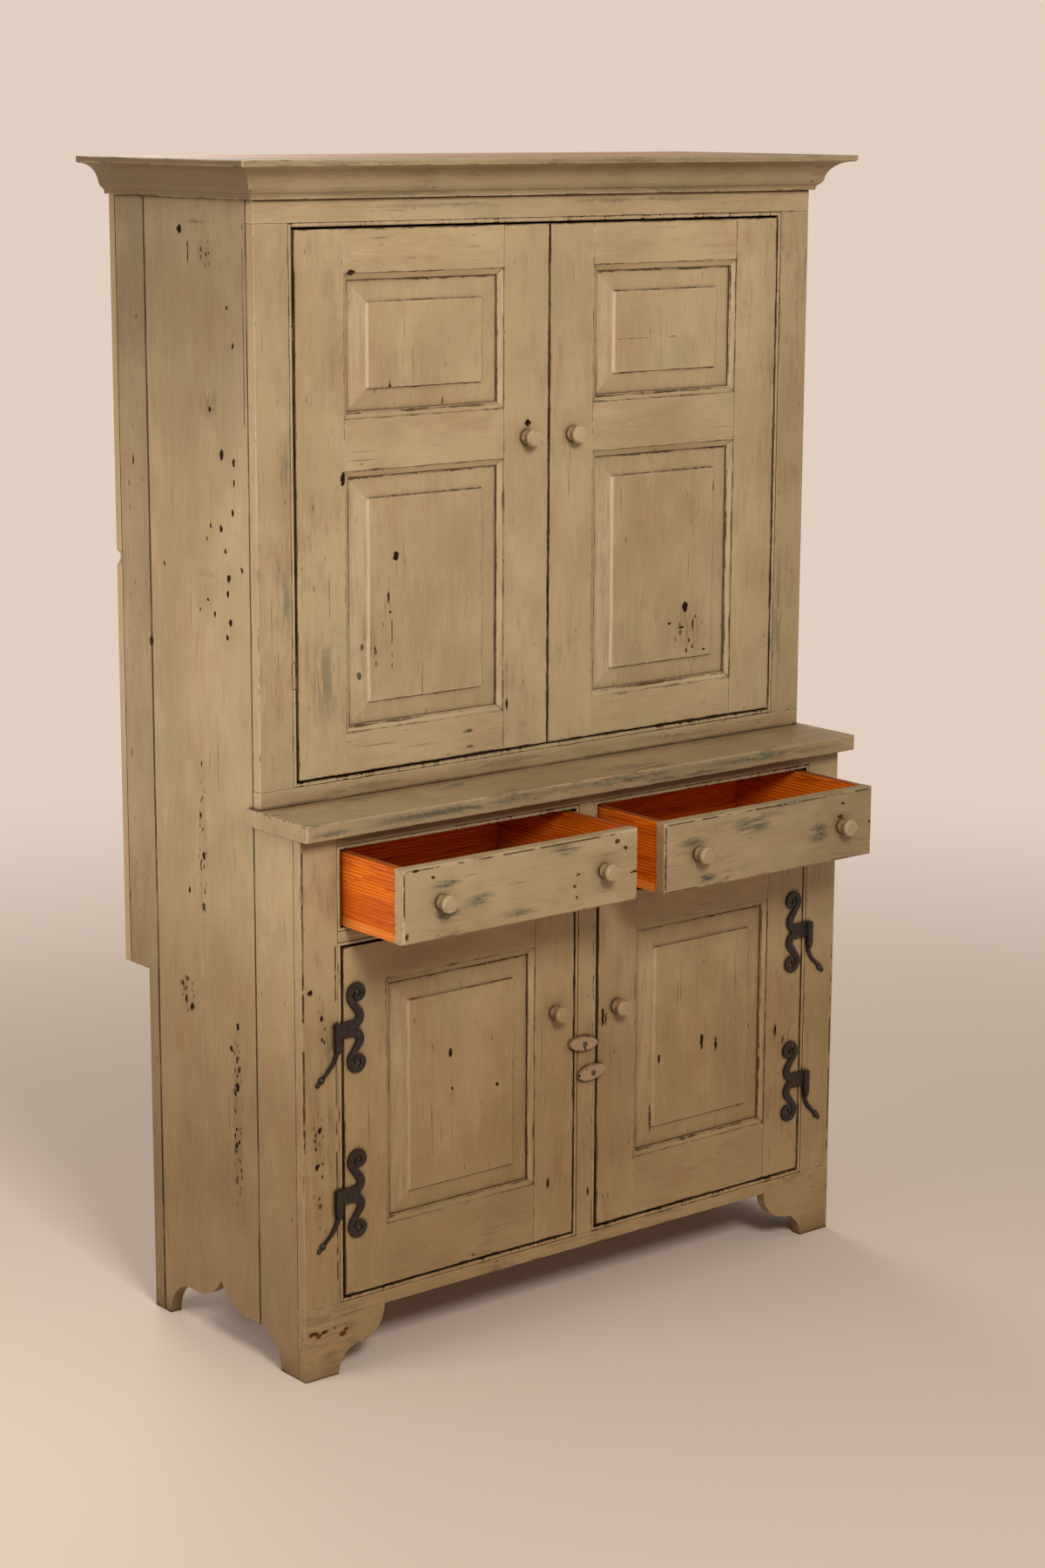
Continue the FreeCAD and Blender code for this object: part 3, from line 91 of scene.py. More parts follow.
SIDE_JOINTS = ((257.5, 2.6), (-35.4, 2.2), (345.6, 2.2), (-144.7, 0.9))
# Painted shade: the side darker towards its top under the cornice and towards the floor; the rear board
# darker
SIDE_PAINTED_SHADES = (("Z", 1.35, 1.75, 0.8), ("Y", 0.2565, 0.2585, 0.78), ("Z", 0.8, 0.3, 0.87))

# Panels, stiles and rails
# Painted shade: the lower doors darker just below the drawers, where the drawers' shadow falls
LOW_DOOR_PAINTED_SHADES = (("Z", 0.76, 0.6, 0.92),)
# Painted shade: the right-hand stiles darker, where less light falls
STILE_PAINTED_SHADES = (("X", 0.42, 0.6, 0.9),)
PANEL_MARKS = (
    (-324, 1340, 6, 9), (-397, 1147, 5, 7), (318, 1194, 7, 11), (281, 1168, 4, 3), (364, 1114, 4, 3),
    (310, 1158, 7, 3), (275, 424, 4, 16), (309, 413, 3, 16), (173, 412, 3, 9), (-296, 511, 4, 9),
    (156, 303, 3, 30), (-292, 450, 3, 4), (-196, 437, 4, 4), (-340, 1273, 2, 12), (-337, 1248, 3, 3),
)
PANEL_PITS = ((-380, 1190, 20, 50), (330, 1150, 40, 60))
PANEL_DASHES = ((True, 161, 1.6, 280, 520), (False, 1673, 0.4, 148, 300), (True, -333, 1.0, 1150, 1240))
STILE_MARKS = ((-431, 1474, 6, 12), (39, 512, 3, 19), (-584, 665, 6, 6), (46, 508, 2, 15))
STILE_PITS = ((-570, 380, 12, 110), (-562, 590, 9, 70))
STILE_RUBS = (
    (-546, 1285, 12, 60), (-546, 1500, 8, 40), (-548, 560, 8, 45), (-545, 420, 8, 70),
    (545, 1150, 12, 120), (-470, 1150, 30, 70),
)
STILE_DASHES = ((True, -597.5, 2.0, 380, 905), (True, 596, 1.2, 150, 560), (True, -533, 1.2, 150, 740))
RAIL_MARKS = ((-412, 1802, 10, 5),)
RAIL_RUBS = (
    (-60, 965, 160, 8), (300, 965, 120, 6), (-400, 962, 90, 6), (-200, 1905, 160, 4), (200, 1908, 180, 4),
    (430, 1895, 60, 6),
)

# Rectangles that hold dark glaze: left, right, bottom and top of the door panels' openings, of their raised
# fields and of the quirks of their frames, then of the doors, where the line is also painted shade that
# widens the door gaps, and of both edges of the beads
OPENINGS = ((109, 417.5, 1577.5, 1789), (109, 417.5, 1064.5, 1473), (125, 421.5, 249.5, 652))
FIELDS = ((144, 381, 1615, 1755), (144, 381, 1102, 1439), (160, 385, 287, 618))
QUIRKS = ((98, 427, 1569, 1801), (98, 427, 1056, 1485), (114, 431, 241, 664))
# Door edges: dark glaze, and painted shade that widens the door gaps
DOOR_EDGE_GLAZE_AND_SHADE = ((2, 523, 989, 1871), (28, 517, 135, 729))
BEADS = ((-534, 534, 978, 1882), (17, 528, 124, 740), (17, 528, 758, 900))
BEADS_INSIDE = ((-527, 527, 985, 1875), (24, 521, 131, 733), (24, 521, 765, 893))

# Cornice, step, base board and drawer fronts
CORNICE_RUBS = (
    (-300, 1926, 200, 4), (250, 1926, 180, 4), (-450, 1972, 120, 5), (100, 1974, 240, 4),
    (520, 1970, 90, 5),
)
STEP_RUBS = (
    (-330, 936, 190, 7), (60, 940, 160, 6), (390, 938, 170, 7), (-560, 932, 40, 6), (200, 928, 120, 4),
)
BASE_MARKS = (
    (-583, 82, 11, 5), (-573, 77, 8, 4), (-561, 81, 8, 4), (-524, 69, 9, 5), (-517, 76, 6, 4),
    (-540, 84, 4, 2),
)
DRAWER_MARKS = (
    (-73, 873, 8, 5), (-56, 860, 7, 4), (-36, 816, 10, 3), (439, 845, 10, 5), (514, 826, 7, 3),
    (445, 868, 7, 3), (-158, 829, 7, 3), (-165, 810, 5, 4), (-160, 791, 3, 5), (-459, 870, 6, 3),
    (-493, 885, 9, 3), (-511, 780, 5, 8),
)
DRAWER_RUBS = (
    (-432, 855, 28, 6), (-366, 820, 30, 11), (-285, 785, 30, 6), (-184, 876, 30, 11), (-101, 800, 20, 9),
    (-428, 806, 24, 12), (93, 850, 32, 7), (229, 862, 46, 20), (387, 822, 22, 18), (300, 886, 40, 5),
    (190, 788, 28, 4), (124, 782, 22, 9),
)
DRAWER_DASHES = (
    (False, 885.5, 1.0, -515, -30), (False, 885.5, 1.0, 30, 515), (True, 29.5, 1.3, 770, 887),
    (True, -515.5, 1.0, 770, 887), (False, 769.5, 1.0, 30, 130),
)
# Painted shade: the drawer fronts darker towards the right, where less light falls
DRAWER_PAINTED_SHADES = (("X", 0.0, 0.4, 0.83),)

MM_PER_M = 1000
# Shift of the grain from one board to the next, in metres
BOARD_SHIFT = 7.0
# How far the paint's outlines wander, in metres
CHIP_WOBBLE = 0.013
RUB_WOBBLE = 0.02


def linear(colour):
    """An sRGB colour, 0 to 255, as Blender's linear colour."""
    def channel(value):
        value /= 255
        return value / 12.92 if value <= 0.04045 else ((value + 0.055) / 1.055) ** 2.4
    return tuple(channel(value) for value in colour) + (1.0,)


class Shader:
    """A material's node tree, with short calls for the nodes that the finishes use."""

    def __init__(self, name):
        self.material = bpy.data.materials.new(name)
        self.material.use_nodes = True
        self.tree = self.material.node_tree
        self.surface = self.tree.nodes["Principled BSDF"]
        self.place = self.add("ShaderNodeTexCoord").outputs["Object"]
        self.geometry = self.add("ShaderNodeNewGeometry")

    def add(self, kind, **settings):
        """A new node with some settings."""
        made = self.tree.nodes.new(kind)
        for key, value in settings.items():
            setattr(made, key, value)
        return made

    def put(self, socket, value):
        """Link a socket to another one, or set its value."""
        if isinstance(value, bpy.types.NodeSocket):
            self.tree.links.new(value, socket)
        else:
            socket.default_value = value

    def set(self, **values):
        """Link or set sockets of the surface, named with _ for spaces."""
        for name, value in values.items():
            self.put(self.surface.inputs[name.replace("_", " ")], value)

    def math(self, operation, first, second=0.0, clamp=False):
        """A sum, difference or other function of two values."""
        made = self.add("ShaderNodeMath", operation=operation, use_clamp=clamp)
        self.put(made.inputs[0], first)
        self.put(made.inputs[1], second)
        return made.outputs[0]

    def most(self, first, second):
        """The larger of two values."""
        return self.math("MAXIMUM", first, second)

    def times(self, *values):
        """The product of some values."""
        product = values[0]
        for value in values[1:]:
            product = self.math("MULTIPLY", product, value)
        return product

    def vector(self, operation, *given, out="Vector"):
        """A function of vectors."""
        made = self.add("ShaderNodeVectorMath", operation=operation)
        for socket, value in zip(made.inputs, given):
            self.put(socket, value)
        return made.outputs[out]

    def part(self, vector, axis):
        """One part of a vector."""
        made = self.add("ShaderNodeSeparateXYZ")
        self.put(made.inputs[0], vector)
        return made.outputs[axis]

    def ramp(self, value, low, high, start=0.0, end=1.0):
        """A smooth step from start to end as the value goes from low to high."""
        made = self.add("ShaderNodeMapRange", interpolation_type="SMOOTHSTEP")
        for socket, given in zip(made.inputs, (value, low, high, start, end)):
            self.put(socket, given)
        return made.outputs["Result"]

    def mix(self, amount, first, second, blend="MIX"):
        """Two colours mixed."""
        made = self.add("ShaderNodeMix", data_type="RGBA", blend_type=blend, clamp_factor=True)
        self.put(made.inputs["Factor"], amount)
        self.put(made.inputs[6], first)
        self.put(made.inputs[7], second)
        return made.outputs[2]

    def tint(self, colour, value, low, high, share, tint):
        """A share of a tint over a colour, growing as the value goes from low to high."""
        return self.mix(self.ramp(value, low, high, 0.0, share), colour, linear(tint))

    def noise(self, vector, scale, detail=4.0, rough=0.55, distort=0.0, out="Fac"):
        """Cloudy noise."""
        made = self.add("ShaderNodeTexNoise")
        self.put(made.inputs["Vector"], vector)
        made.inputs["Scale"].default_value = scale
        made.inputs["Detail"].default_value = detail
        made.inputs["Roughness"].default_value = rough
        made.inputs["Distortion"].default_value = distort
        return made.outputs[out]

    def cells(self, vector, scale):
        """Distance to the nearest of scattered points, and a colour for each."""
        made = self.add("ShaderNodeTexVoronoi")
        self.put(made.inputs["Vector"], vector)
        made.inputs["Scale"].default_value = scale
        return made.outputs["Distance"], made.outputs["Color"]

    def crevice(self, reach):
        """1 in a crevice, 0 in the open."""
        made = self.add("ShaderNodeAmbientOcclusion", samples=6)
        made.inputs["Distance"].default_value = reach
        return self.math("SUBTRACT", 1.0, made.outputs["AO"])

    def rounded(self, radius):
        """The normal that the surface would have with its edges rounded."""
        made = self.add("ShaderNodeBevel", samples=4)
        made.inputs["Radius"].default_value = radius
        return made.outputs["Normal"]

    def arris(self, rounded):
        """How far the surface turns to its rounded normal: 0 on a flat, rising on an edge."""
        flat = self.geometry.outputs["True Normal"]
        turned = self.vector("DOT_PRODUCT", rounded, flat, out="Value")
        return self.math("SUBTRACT", 1.0, turned)

    def own(self, normal):
        """A normal turned to the piece's own axes, so that it keeps its place when the piece swings."""
        made = self.add("ShaderNodeVectorTransform", vector_type="NORMAL", convert_from="WORLD",
                        convert_to="OBJECT")
        self.put(made.inputs[0], normal)
        return made.outputs[0]

    def slope(self, axis):
        """The part of the surface's own normal along an axis."""
        return self.part(self.own(self.geometry.outputs["True Normal"]), axis)

    def facing(self, axis, sign):
        """1 on faces that look along an axis."""
        return self.ramp(self.math("MULTIPLY", self.slope(axis), sign), 0.45, 0.6)

    def bump(self, height, strength, distance):
        """Fine relief in the surface's normal."""
        made = self.add("ShaderNodeBump")
        made.inputs["Strength"].default_value = strength
        made.inputs["Distance"].default_value = distance
        self.put(made.inputs["Height"], height)
        self.set(Normal=made.outputs["Normal"])

    def board(self, low, high):
        """A tone for each board, from low to high."""
        return self.ramp(self.geometry.outputs["Random Per Island"], 0.0, 1.0, low, high)

    def grained(self, grain, stretch):
        """Object coordinates drawn out along the grain and shifted for each board."""
        island = self.math("MULTIPLY", self.geometry.outputs["Random Per Island"], BOARD_SHIFT)
        drawn = tuple(stretch if axis == grain else 1.0 for axis in "XYZ")
        return self.vector("MULTIPLY", self.vector("ADD", self.place, island), drawn)

    def flecks(self, along, scale, size, share):
        """Small marks in a share of scattered cells."""
        distance, colour = self.cells(along, scale)
        chosen = self.ramp(self.part(colour, "X"), 1.0 - share, 1.0 - 0.8 * share)
        ragged = self.math("MULTIPLY", self.noise(along, scale * 4, 3.0), 0.22)
        far = self.math("ADD", distance, ragged)
        return self.math("MULTIPLY", self.ramp(far, size + 0.12, size + 0.06), chosen)


# Settings of the worn paint, with their values on a plain board
PAINT_SETTINGS = {
    # How light, brown, chipped, smudged, rubbed at the edges and shiny it is
    "tone": 1.0,
    "stained": 0.0,
    "chips": 1.0,
    "smudges": 0.3,
    "wear": 1.0,
    "gloss": 0.0,
    # The painted face looks back along this axis
    "looks": "Y",
    # Chips with a place, their size, and how red the bare places are
    "marks": (),
    "growth": 1.0,
    "red": 0.0,
    # Stretches of pits and how many there are, then rubs, their strength and colour
    "pits": (),
    "pitting": 1.0,
    "rubs": (),
    "rubbing": 0.5,
    "rub_colour": SMUDGE,
    # Dark lines: joints, dashes, and rectangles with the half width of their lines
    "joints": (),
    "dashes": (),
    "frames": (),
    # Reach of the dark glaze in quirks, then its reach in joints and the depths where it starts and is full
    "quirk": 0.005,
    "glaze": (0.012, 0.32, 0.54),
    # Painted highlight on left edges, slow painted shade, and whether the back is bare wood
    "glint": 0.0,
    "shades": (),
    "bare_back": False,
}


class WornPaint(Shader):
    """Olive-tan paint brushed along the grain, with smudges, chips, worn edges and dark glaze in joints."""

    def __init__(self, name, grain, **settings):
        super().__init__(name)
        self.grain = grain
        self.given = SimpleNamespace(**{**PAINT_SETTINGS, **settings})
        self.sideways = self.given.looks == "X"
        self.short = self.grained(grain, 0.26)
        along = self.grained(grain, 0.09)
        self.cloud = self.noise(self.grained(grain, 0.4), 17.0, 6.0, 0.62)
        self.streak = self.noise(along, 160.0, 5.0, 0.66, 0.2)
        self.fibre = self.noise(along, 620.0, 3.0, 0.6)
        self.patch = self.noise(self.place, 7.5, 4.0, 0.6)
        self.ragged = self.noise(self.short, 75.0, 4.0, 0.7)
        self.outward = self.facing(self.given.looks, -1)
        self.height = self.part(self.place, "Z")
        self.across = self.part(self.place, "Y" if self.sideways else "X")
        self.soft = self.rounded(0.006 if self.given.glint else 0.004)

    def reach(self, spots, wobble):
        """Distance to the nearest spot, as a share of the spot's half size, with a ragged outline."""
        shake = self.noise(self.place, 150.0, 5.0, 0.75, out="Color")
        shake = self.vector("SUBTRACT", shake, (0.5, 0.5, 0.5))
        shaken = self.vector("MULTIPLY_ADD", shake, (wobble, wobble, wobble), self.place)
        nearest = None
        for across, up, half_width, half_height in spots:
            wide, high = MM_PER_M / half_width, MM_PER_M / half_height
            scale = (0, wide, high) if self.sideways else (wide, 0, high)
            beside, over = -across / half_width, -up / half_height
            shift = (0, beside, over) if self.sideways else (beside, 0, over)
            far = self.vector("LENGTH", self.vector("MULTIPLY_ADD", shaken, scale, shift), out="Value")
            nearest = far if nearest is None else self.math("MINIMUM", nearest, far)
        return nearest

    def beside_frames(self, rectangles):
        """Distance to the nearest side of upright rectangles, mirrored about the cupboard's middle."""
        place = self.vector("ABSOLUTE", self.place)
        nearest = None
        for left, right, bottom, top in rectangles:
            middle = ((left + right) / 2 / MM_PER_M, 0, (bottom + top) / 2 / MM_PER_M)
            half = ((right - left) / 2 / MM_PER_M, 0, (top - bottom) / 2 / MM_PER_M)
            out = self.vector("ABSOLUTE", self.vector("SUBTRACT", place, middle))
            out = self.vector("SUBTRACT", out, half)
            far = self.math("ABSOLUTE", self.most(self.part(out, "X"), self.part(out, "Z")))
            nearest = far if nearest is None else self.math("MINIMUM", nearest, far)
        return nearest

    def streak_at(self, across, at, half_width):
        """A straight line with ragged sides; place and half width in mm."""
        off = self.math("ABSOLUTE", self.math("SUBTRACT", across, at / MM_PER_M))
        off = self.math("ADD", off, self.math("MULTIPLY", self.ragged, 0.002))
        return self.ramp(off, half_width / MM_PER_M + 0.0016, half_width / MM_PER_M + 0.0007)

    def body(self):
        """Broad and small clouds, warmer and greener places, brush streaks, and a tone for each board."""
        broad = self.ramp(self.noise(self.place, 3.1, 4.0, 0.55), 0.34, 0.66, 0.32, 0.68)
        colour = self.mix(broad, linear(PAINT_DARK), linear(PAINT_LIGHT))
        colour = self.tint(colour, self.cloud, 0.5, 0.68, 0.35, PAINT_LIGHT)
        colour = self.tint(colour, self.cloud, 0.48, 0.3, 0.3, PAINT_DARK)
        colour = self.tint(colour, self.patch, 0.55, 0.7, 0.4, PAINT_RUBBED)
        colour = self.tint(colour, self.patch, 0.45, 0.3, 0.5, PAINT_OLIVE)
        colour = self.tint(colour, self.streak, 0.54, 0.75, 0.4, PAINT_LIGHT)
        colour = self.tint(colour, self.streak, 0.46, 0.25, 0.45, PAINT_DARK)
        colour = self.tint(colour, self.fibre, 0.42, 0.22, 0.4, PAINT_DARK)
        board = self.board(0.94 * self.given.tone, 1.04 * self.given.tone)
        colour = self.mix(1.0, colour, board, "MULTIPLY")
        if self.given.stained:
            colour = self.mix(self.given.stained, colour, linear(GRIME))
        return colour

    def rubbed(self, colour):
        """Dark rubs, scattered and at their places."""
        rub = self.noise(self.grained(self.grain, 0.13), 85.0, 6.0, 0.74, 0.4)
        stain = self.times(self.ramp(rub, 0.44, 0.64), self.ramp(self.patch, 0.5, 0.64), self.given.smudges)
        if self.given.rubs:
            near = self.times(self.ramp(self.reach(self.given.rubs, RUB_WOBBLE), 1.5, 0.2), self.outward)
            placed = self.times(self.ramp(rub, 0.42, 0.54, 0.04, 1.0), near, self.given.rubbing)
            stain = self.most(stain, placed)
        darker = self.ramp(self.streak, 0.42, 0.56, 0.1, 0.85)
        smear = self.mix(darker, linear(self.given.rub_colour), linear(SMUDGE_DARK))
        return self.mix(stain, colour, smear)

    def chipped(self, colour):
        """Flecks, hairs and dirty stretches on the colour, and where chips have taken the paint off."""
        chip = self.times(self.flecks(self.short, 44.0, 0.15, 0.16), self.ramp(self.patch, 0.52, 0.6),
                          self.given.chips)
        if self.given.pits:
            stretch = self.times(self.ramp(self.reach(self.given.pits, RUB_WOBBLE), 1.2, 0.5), self.outward)
            dirty = self.times(self.ramp(self.streak, 0.46, 0.6, 0.1, 0.5), stretch)
            colour = self.mix(dirty, colour, linear(GRIME))
            large = self.flecks(self.grained(self.grain, 0.6), 80.0, 0.3, 0.7 * self.given.pitting)
            small = self.flecks(self.grained(self.grain, 0.5), 135.0, 0.28, 0.85 * self.given.pitting)
            chip = self.most(chip, self.times(self.most(large, small), stretch))
        if self.given.marks:
            near = self.reach(self.given.marks, CHIP_WOBBLE)
            mark = self.ramp(near, self.given.growth, 0.75 * self.given.growth)
            chip = self.most(chip, self.times(mark, self.outward))
        fleck = self.flecks(self.short, 85.0, 0.12, 0.3)
        fleck = self.times(fleck, self.ramp(self.patch, 0.4, 0.6, 0.25, 0.9))
        colour = self.mix(fleck, colour, linear(FLECK))
        hair = self.noise(self.grained(self.grain, 0.035), 190.0, 3.0, 0.6)
        hair = self.times(self.ramp(hair, 0.63, 0.72, 0.0, 0.75), self.ramp(self.cloud, 0.44, 0.58))
        return self.mix(hair, colour, linear(GRIME)), chip

    def worn(self, colour, chip):
        """Arrises, paler where paint is thin, which is partly a painted highlight, and rubbed through in
        dashes; bare wood where it is gone.
        """
        wear, red = self.given.wear, self.given.red
        edge = self.ramp(self.arris(self.soft), 0.01, 0.14)
        least = 0.5 - 0.07 * wear
        runs = self.ramp(self.noise(self.place, 9.0, 3.0), least, least + 0.1)
        # Edges paler: partly worn paint, partly painted highlight
        thin = self.times(edge, self.ramp(self.cloud, 0.4, 0.6, 0.15, 0.6))
        colour = self.mix(thin, colour, linear(PAINT_PALE_AND_HIGHLIGHT))
        through = self.times(edge, self.ramp(self.ragged, 0.53, 0.58), runs, wear)
        gone = self.most(chip, through)
        bare = self.mix(self.ramp(self.patch, 0.5, 0.6, red, 1.0), linear(CHIP), linear(CHIP_RED))
        bare = self.mix(self.ramp(self.ragged, 0.4, 0.6, red, 0.3 * red), linear(CHIP), bare)
        return self.mix(gone, colour, bare), gone

    def hollows_and_painted_highlight(self, colour):
        """Darker towards corners and hollows, and a painted highlight on faces that slope to the left."""
        # Darker where the surface is hidden in corners and hollows
        hollow_darkening = self.ramp(self.crevice(0.05), 0.07, 0.45, 0.0, 0.7)
        hollow_darkening = self.times(hollow_darkening, self.ramp(self.cloud, 0.36, 0.6, 0.4, 1.0))
        colour = self.mix(hollow_darkening, colour, linear(GRIME))
        if self.sideways:
            return colour
        # Painted highlight: faces that slope to the left are paler
        left_slope_highlight = self.times(self.ramp(self.slope("X"), -0.04, -0.14), self.outward)
        brushed = self.times(left_slope_highlight, self.ramp(self.streak, 0.35, 0.6, 0.04, 0.22))
        return self.mix(brushed, colour, linear(PAINT_PALE_AND_HIGHLIGHT))

    def lines(self):
        """Dark glaze left in joints and quirks, with longer lines at the joints of boards."""
        reach, start, full = self.given.glaze
        deep = self.math("ADD", self.crevice(reach), self.ramp(self.ragged, 0.3, 0.7, -0.16, 0.16))
        line = self.ramp(deep, start, full)
        line = self.most(line, self.ramp(self.crevice(self.given.quirk), 0.1, 0.3, 0.0, 0.85))
        for at, half_width in self.given.joints:
            line = self.most(line, self.times(self.streak_at(self.across, at, half_width), self.outward))
        for dash in self.given.dashes:
            line = self.most(line, self.dashed(*dash))
        for half_width, rectangles in self.given.frames:
            line = self.most(line, self.framed(half_width, rectangles))
        patchy = self.noise(self.short, 34.0, 5.0, 0.65)
        return self.times(line, self.ramp(patchy, 0.36, 0.52, 0.45, 1.0))

    def dashed(self, runs_up, at, half_width, start, end):
        """One broken dark line."""
        beside, along_it = (self.across, self.height) if runs_up else (self.height, self.across)
        within = self.times(self.ramp(along_it, start / MM_PER_M, start / MM_PER_M + 0.01),
                            self.ramp(along_it, end / MM_PER_M, end / MM_PER_M - 0.01))
        broken = self.ramp(self.noise(self.place, 22.0, 3.0), 0.42, 0.48)
        return self.times(self.streak_at(beside, at, half_width), within, broken, self.outward)

    def framed(self, half_width, rectangles):
        """Broken dark lines along the sides of rectangles."""
        wander = self.ramp(self.ragged, 0.3, 0.7, 0.0, 0.0028)
        off = self.math("ADD", self.beside_frames(rectangles), wander)
        drawn = self.ramp(off, half_width / MM_PER_M + 0.0026, half_width / MM_PER_M + 0.0008)
        broken = self.ramp(self.noise(self.place, 15.0, 4.0, 0.6), 0.4, 0.52, 0.25, 1.0)
        return self.times(drawn, broken, self.outward)

    def toned(self, colour):
        """Painted shade near the floor and along the other given painted shades, and bare wood behind."""
        # Painted shade: darker towards the floor, where less light falls
        low = self.mix(self.ramp(self.height, LOW_PAINTED_SHADE_FROM, LOW_PAINTED_SHADE_TO), LOW_PAINTED_SHADE, UNCHANGED)
        colour = self.mix(1.0, colour, low, "MULTIPLY")
        # Painted shade along the given axes
        for axis, start, end, share in self.given.shades:
            shade = self.ramp(self.part(self.place, axis), start, end, 1.0, share)
            colour = self.mix(1.0, colour, shade, "MULTIPLY")
        if self.given.bare_back:
            raw = self.mix(self.ramp(self.streak, 0.3, 0.7), linear(DRAWER_PINE_PALE), linear(DRAWER_PINE))
            colour = self.mix(self.facing("Y", 1), colour, raw)
        return colour

    def painted(self):
        """The finished material."""
        colour, chip = self.chipped(self.rubbed(self.body()))
        colour, gone = self.worn(colour, chip)
        colour = self.hollows_and_painted_highlight(colour)
        line = self.lines()
        colour = self.mix(self.times(line, 0.86), colour, linear(GLAZE))
        # Painted highlight: a pale glint on edges that turn to the left
        if self.given.glint:
            painted_shine = self.ramp(self.part(self.own(self.soft), "X"), -0.26, -0.42, 0.0, self.given.glint)
            colour = self.mix(painted_shine, colour, linear(PAINTED_GLINT_COLOUR))
        gloss = self.given.gloss
        rough = self.ramp(self.streak, 0.2, 0.8, 0.62 - gloss, 0.46 - gloss)
        self.set(Base_Color=self.toned(colour),
                 Roughness=self.math("ADD", rough, self.times(gone, 0.25), True),
                 Specular_IOR_Level=self.ramp(self.most(gone, line), 0.0, 1.0, 0.35 + gloss, 0.06))
        relief = self.math("ADD", self.times(self.streak, 0.5), self.times(self.fibre, 0.35))
        self.bump(self.math("SUBTRACT", relief, gone), 0.4, 0.0012)
        return self.material


def worn_paint(name, grain, **settings):
    """Worn paint with its settings, on boards whose grain runs along an axis."""
    return WornPaint(name, grain, **settings).painted()


def bare_wood(name, grain, light, dark, rings=13.0, rough=0.5, painted_ends=False):
    """Unpainted pine: dark latewood lines that wander along the grain, with fine pores."""
    shader = Shader(name)
    along = shader.grained(grain, 0.06)
    line = shader.math("FRACT", shader.times(shader.noise(along, 8.0, 2.0, 0.4), rings))
    line = shader.times(shader.ramp(line, 0.2, 0.85), shader.ramp(line, 1.0, 0.9))
    broad = shader.noise(along, 14.0, 3.0)
    fibre = shader.noise(along, 420.0, 2.0)
    colour = shader.mix(shader.times(line, 0.5), linear(light), linear(dark))
    colour = shader.tint(colour, broad, 0.4, 0.65, 0.5, dark)
    colour = shader.tint(colour, fibre, 0.42, 0.25, 0.4, dark)
    aged = shader.noise(shader.grained(grain, 0.4), 4.0, 5.0, 0.6)
    colour = shader.tint(colour, aged, 0.42, 0.7, 0.5, GRIME)
    colour = shader.mix(1.0, colour, shader.board(0.8, 1.08), "MULTIPLY")
    if painted_ends:
        ends = shader.most(shader.facing("X", 1), shader.facing("X", -1))
        brushed = shader.mix(shader.ramp(broad, 0.35, 0.65), linear(PAINT_DARK), linear(PAINT))
        colour = shader.mix(ends, colour, brushed)
    colour = shader.tint(colour, shader.crevice(0.02), 0.3, 0.85, 0.75, GLAZE)
    shader.set(Base_Color=colour, Roughness=shader.ramp(fibre, 0.2, 0.8, rough, rough + 0.15))
    shader.bump(shader.math("ADD", line, shader.times(fibre, 0.5)), 0.2, 0.0006)
    return shader.material


# Drawer boxes: stripes drawn out along the boards and shifted for each, and the top of the paler foot
STRIPE_STRETCH = (0.05, 0.05, 1.0)
STRIPE_SHIFT = 3.0
BOX_FOOT = 0.781


def drawer_wood(name):
    """Varnished orange pine of drawer sides and backs: level stripes, dark top edges, a paler foot."""
    shader = Shader(name)
    island = shader.math("MULTIPLY", shader.geometry.outputs["Random Per Island"], STRIPE_SHIFT)
    along = shader.vector("MULTIPLY", shader.vector("ADD", shader.place, island), STRIPE_STRETCH)
    wave = shader.add("ShaderNodeTexWave", wave_type="BANDS", bands_direction="Z", wave_profile="SIN")
    shader.put(wave.inputs["Vector"], along)
    wave.inputs["Scale"].default_value = 52.0
    wave.inputs["Distortion"].default_value = 9.0
    wave.inputs["Detail"].default_value = 4.0
    wave.inputs["Detail Scale"].default_value = 0.3
    stripes = wave.outputs["Fac"]
    broad = shader.noise(along, 22.0, 3.0)
    fibre = shader.noise(along, 500.0, 2.0)
    hairs = shader.noise(along, 210.0, 4.0, 0.6)
    colour = shader.tint(linear(DRAWER_PINE), stripes, 0.3, 1.0, 0.7, DRAWER_PINE_DARK)
    colour = shader.tint(colour, hairs, 0.5, 0.64, 0.95, DRAWER_PINE_DARK)
    colour = shader.tint(colour, broad, 0.42, 0.66, 0.55, DRAWER_PINE_DARK)
    colour = shader.tint(colour, broad, 0.42, 0.28, 0.4, DRAWER_PINE_PALE)
    colour = shader.tint(colour, fibre, 0.42, 0.25, 0.35, DRAWER_PINE_DARK)
    foot = shader.ramp(shader.part(shader.place, "Z"), BOX_FOOT, BOX_FOOT - 0.002)
    foot = shader.times(foot, shader.facing("X", -1), 0.55)
    colour = shader.mix(foot, colour, linear(DRAWER_PINE_PALE))
    rubbed = shader.times(shader.facing("Z", 1), shader.ramp(broad, 0.3, 0.6, 0.5, 0.95))
    colour = shader.mix(rubbed, colour, linear(DRAWER_PINE_WORN))
    colour = shader.tint(colour, shader.crevice(0.02), 0.35, 0.9, 0.7, DRAWER_PINE_WORN)
    rough = shader.ramp(fibre, 0.2, 0.8, 0.4, 0.55)
    shader.set(Base_Color=colour, Roughness=rough, Specular_IOR_Level=0.25)
    shader.bump(shader.math("ADD", stripes, shader.times(fibre, 0.5)), 0.15, 0.0005)
    return shader.material


